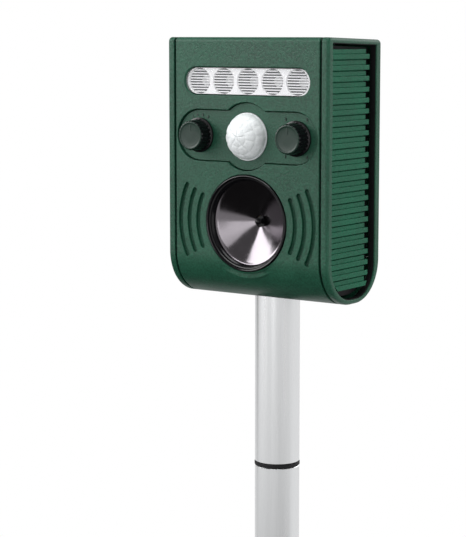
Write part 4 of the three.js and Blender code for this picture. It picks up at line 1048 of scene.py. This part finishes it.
def combined(tree, operation, a, b):
    """A math node on two values, of which b may be a plain number."""
    node = tree.nodes.new("ShaderNodeMath")
    node.operation = operation
    tree.links.new(a, node.inputs[0])
    if isinstance(b, (int, float)):
        node.inputs[1].default_value = b
    else:
        tree.links.new(b, node.inputs[1])
    return node.outputs[0]


def surround():
    """A white surround, whose light is weaker from below in front, from far left and from high up."""
    world = bpy.data.worlds.new("surround")
    world.use_nodes = True
    bpy.context.scene.world = world
    nodes, links = world.node_tree.nodes, world.node_tree.links
    nodes.clear()
    out = nodes.new("ShaderNodeOutputWorld")
    seen = nodes.new("ShaderNodeBackground")
    lit = nodes.new("ShaderNodeBackground")
    mix = nodes.new("ShaderNodeMixShader")
    path = nodes.new("ShaderNodeLightPath")
    place = nodes.new("ShaderNodeTexCoord")
    split = nodes.new("ShaderNodeSeparateXYZ")
    links.new(place.outputs["Generated"], split.inputs["Vector"])
    tree = world.node_tree
    low = world_step(tree, split.outputs["Z"], (-0.4, 0.03), (-0.3, 1))
    behind = world_step(tree, split.outputs["Y"], (0.1, 0), (0.4, 1))
    beside = world_step(tree, split.outputs["X"], (-0.99, 0.3), (-0.955, 1))
    high = world_step(tree, split.outputs["Z"], (0.2, 1), (0.45, 0.3))
    sides = combined(tree, "MULTIPLY", combined(tree, "MAXIMUM", low, behind), beside)
    glow = combined(tree, "MULTIPLY", sides, high)
    links.new(combined(tree, "MULTIPLY", glow, SURROUND), lit.inputs["Strength"])
    seen.inputs["Color"].default_value = (1, 1, 1, 1)
    lit.inputs["Color"].default_value = (1, 1, 1, 1)
    links.new(path.outputs["Is Camera Ray"], mix.inputs["Fac"])
    links.new(lit.outputs[0], mix.inputs[1])
    links.new(seen.outputs[0], mix.inputs[2])
    links.new(mix.outputs[0], out.inputs["Surface"])


def ground():
    """A pale floor that fades into the surround."""
    floor_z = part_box("ground_spike")[0].z - 0.0005
    bpy.ops.mesh.primitive_circle_add(vertices=96, radius=0.55, fill_type="NGON", location=(0, 0, floor_z))
    floor = bpy.context.object
    floor.name = "floor"
    material = bpy.data.materials.new("floor")
    material.use_nodes = True
    tree = material.node_tree
    shader = tree.nodes["Principled BSDF"]
    shader.inputs["Base Color"].default_value = (0.86, 0.86, 0.87, 1)
    shader.inputs["Roughness"].default_value = 0.6
    place = tree.nodes.new("ShaderNodeTexCoord")
    distance = tree.nodes.new("ShaderNodeVectorMath")
    distance.operation = "LENGTH"
    fade = tree.nodes.new("ShaderNodeMapRange")
    fade.interpolation_type = "SMOOTHSTEP"
    fade.inputs["From Min"].default_value = 0.12
    fade.inputs["From Max"].default_value = 0.5
    fade.inputs["To Min"].default_value = 1
    fade.inputs["To Max"].default_value = 0
    tree.links.new(place.outputs["Object"], distance.inputs[0])
    tree.links.new(distance.outputs["Value"], fade.inputs["Value"])
    tree.links.new(fade.outputs["Result"], shader.inputs["Alpha"])
    floor.data.materials.append(material)
    floor.visible_glossy = False


def studio():
    """Surround, floor and large soft lights."""
    surround()
    ground()
    softbox("key", -60, 24, 1.2, 0.75, 0.7, 5.5)
    softbox("front", 14, 13, 1.5, 0.42, 1.0, 1.7)
    softbox("front_left", -33, 10, 1.6, 0.6, 0.5, 4.2)
    softbox("top", 20, 80, 1.3, 1.0, 1.0, 3.2)
    softbox("right", 85, 5, 1.5, 0.9, 1.4, 2.4).visible_glossy = False
    softbox("back", 165, 25, 1.6, 1.0, 0.9, 2.2)
    bpy.context.scene.view_settings.view_transform = "Standard"


def camera():
    """The camera, level with the top of the head, to its right and looking slightly down."""
    lens = bpy.data.cameras.new("camera")
    lens.sensor_width = 36
    lens.lens = 116.57
    lens.clip_start = 0.01
    lens.clip_end = 50
    piece = bpy.data.objects.new("camera", lens)
    yaw, pitch, roll = (math.radians(a) for a in (35.526, -7.717, -0.024))
    forward = Vector((-math.sin(yaw) * math.cos(pitch), math.cos(yaw) * math.cos(pitch), math.sin(pitch)))
    piece.location = (0.5432, -0.8041, 0.3512)
    piece.rotation_mode = "QUATERNION"
    turn = Matrix.Rotation(roll, 3, "Z").to_quaternion()
    piece.rotation_quaternion = forward.to_track_quat("-Z", "Y") @ turn
    bpy.context.scene.collection.objects.link(piece)
    bpy.context.scene.camera = piece


def carried_over():
    """The CAD nodes that stay get their slot's finish."""
    slots = {part["node"]: part["material_slot"] for part in frame["record"]["subparts"]}
    for node, piece in frame["nodes"].items():
        for holder in piece.material_slots:
            holder.material = FINISHES[slots[node]]


camera()
studio()
carried_over()
front_shell()
for side_name, side_sign in (("left", -1), ("right", 1)):
    side_frame(side_name, side_sign)
    side_seal(side_name, side_sign)
    louvre_panel(side_name, side_sign)
light()
knob("sensitivity", -1)
knob("frequency", 1)
dial_ticks("sensitivity", -1, (-24, -7, 12, 30))
dial_numbers("frequency", 1, (-145, -34, 34, 145))
motion_lens()
horn()
rear_cover()
battery_door()
cover_screws()
ports()
batteries()
solar_frame()
solar_sheet()
solar_cover()
pole()
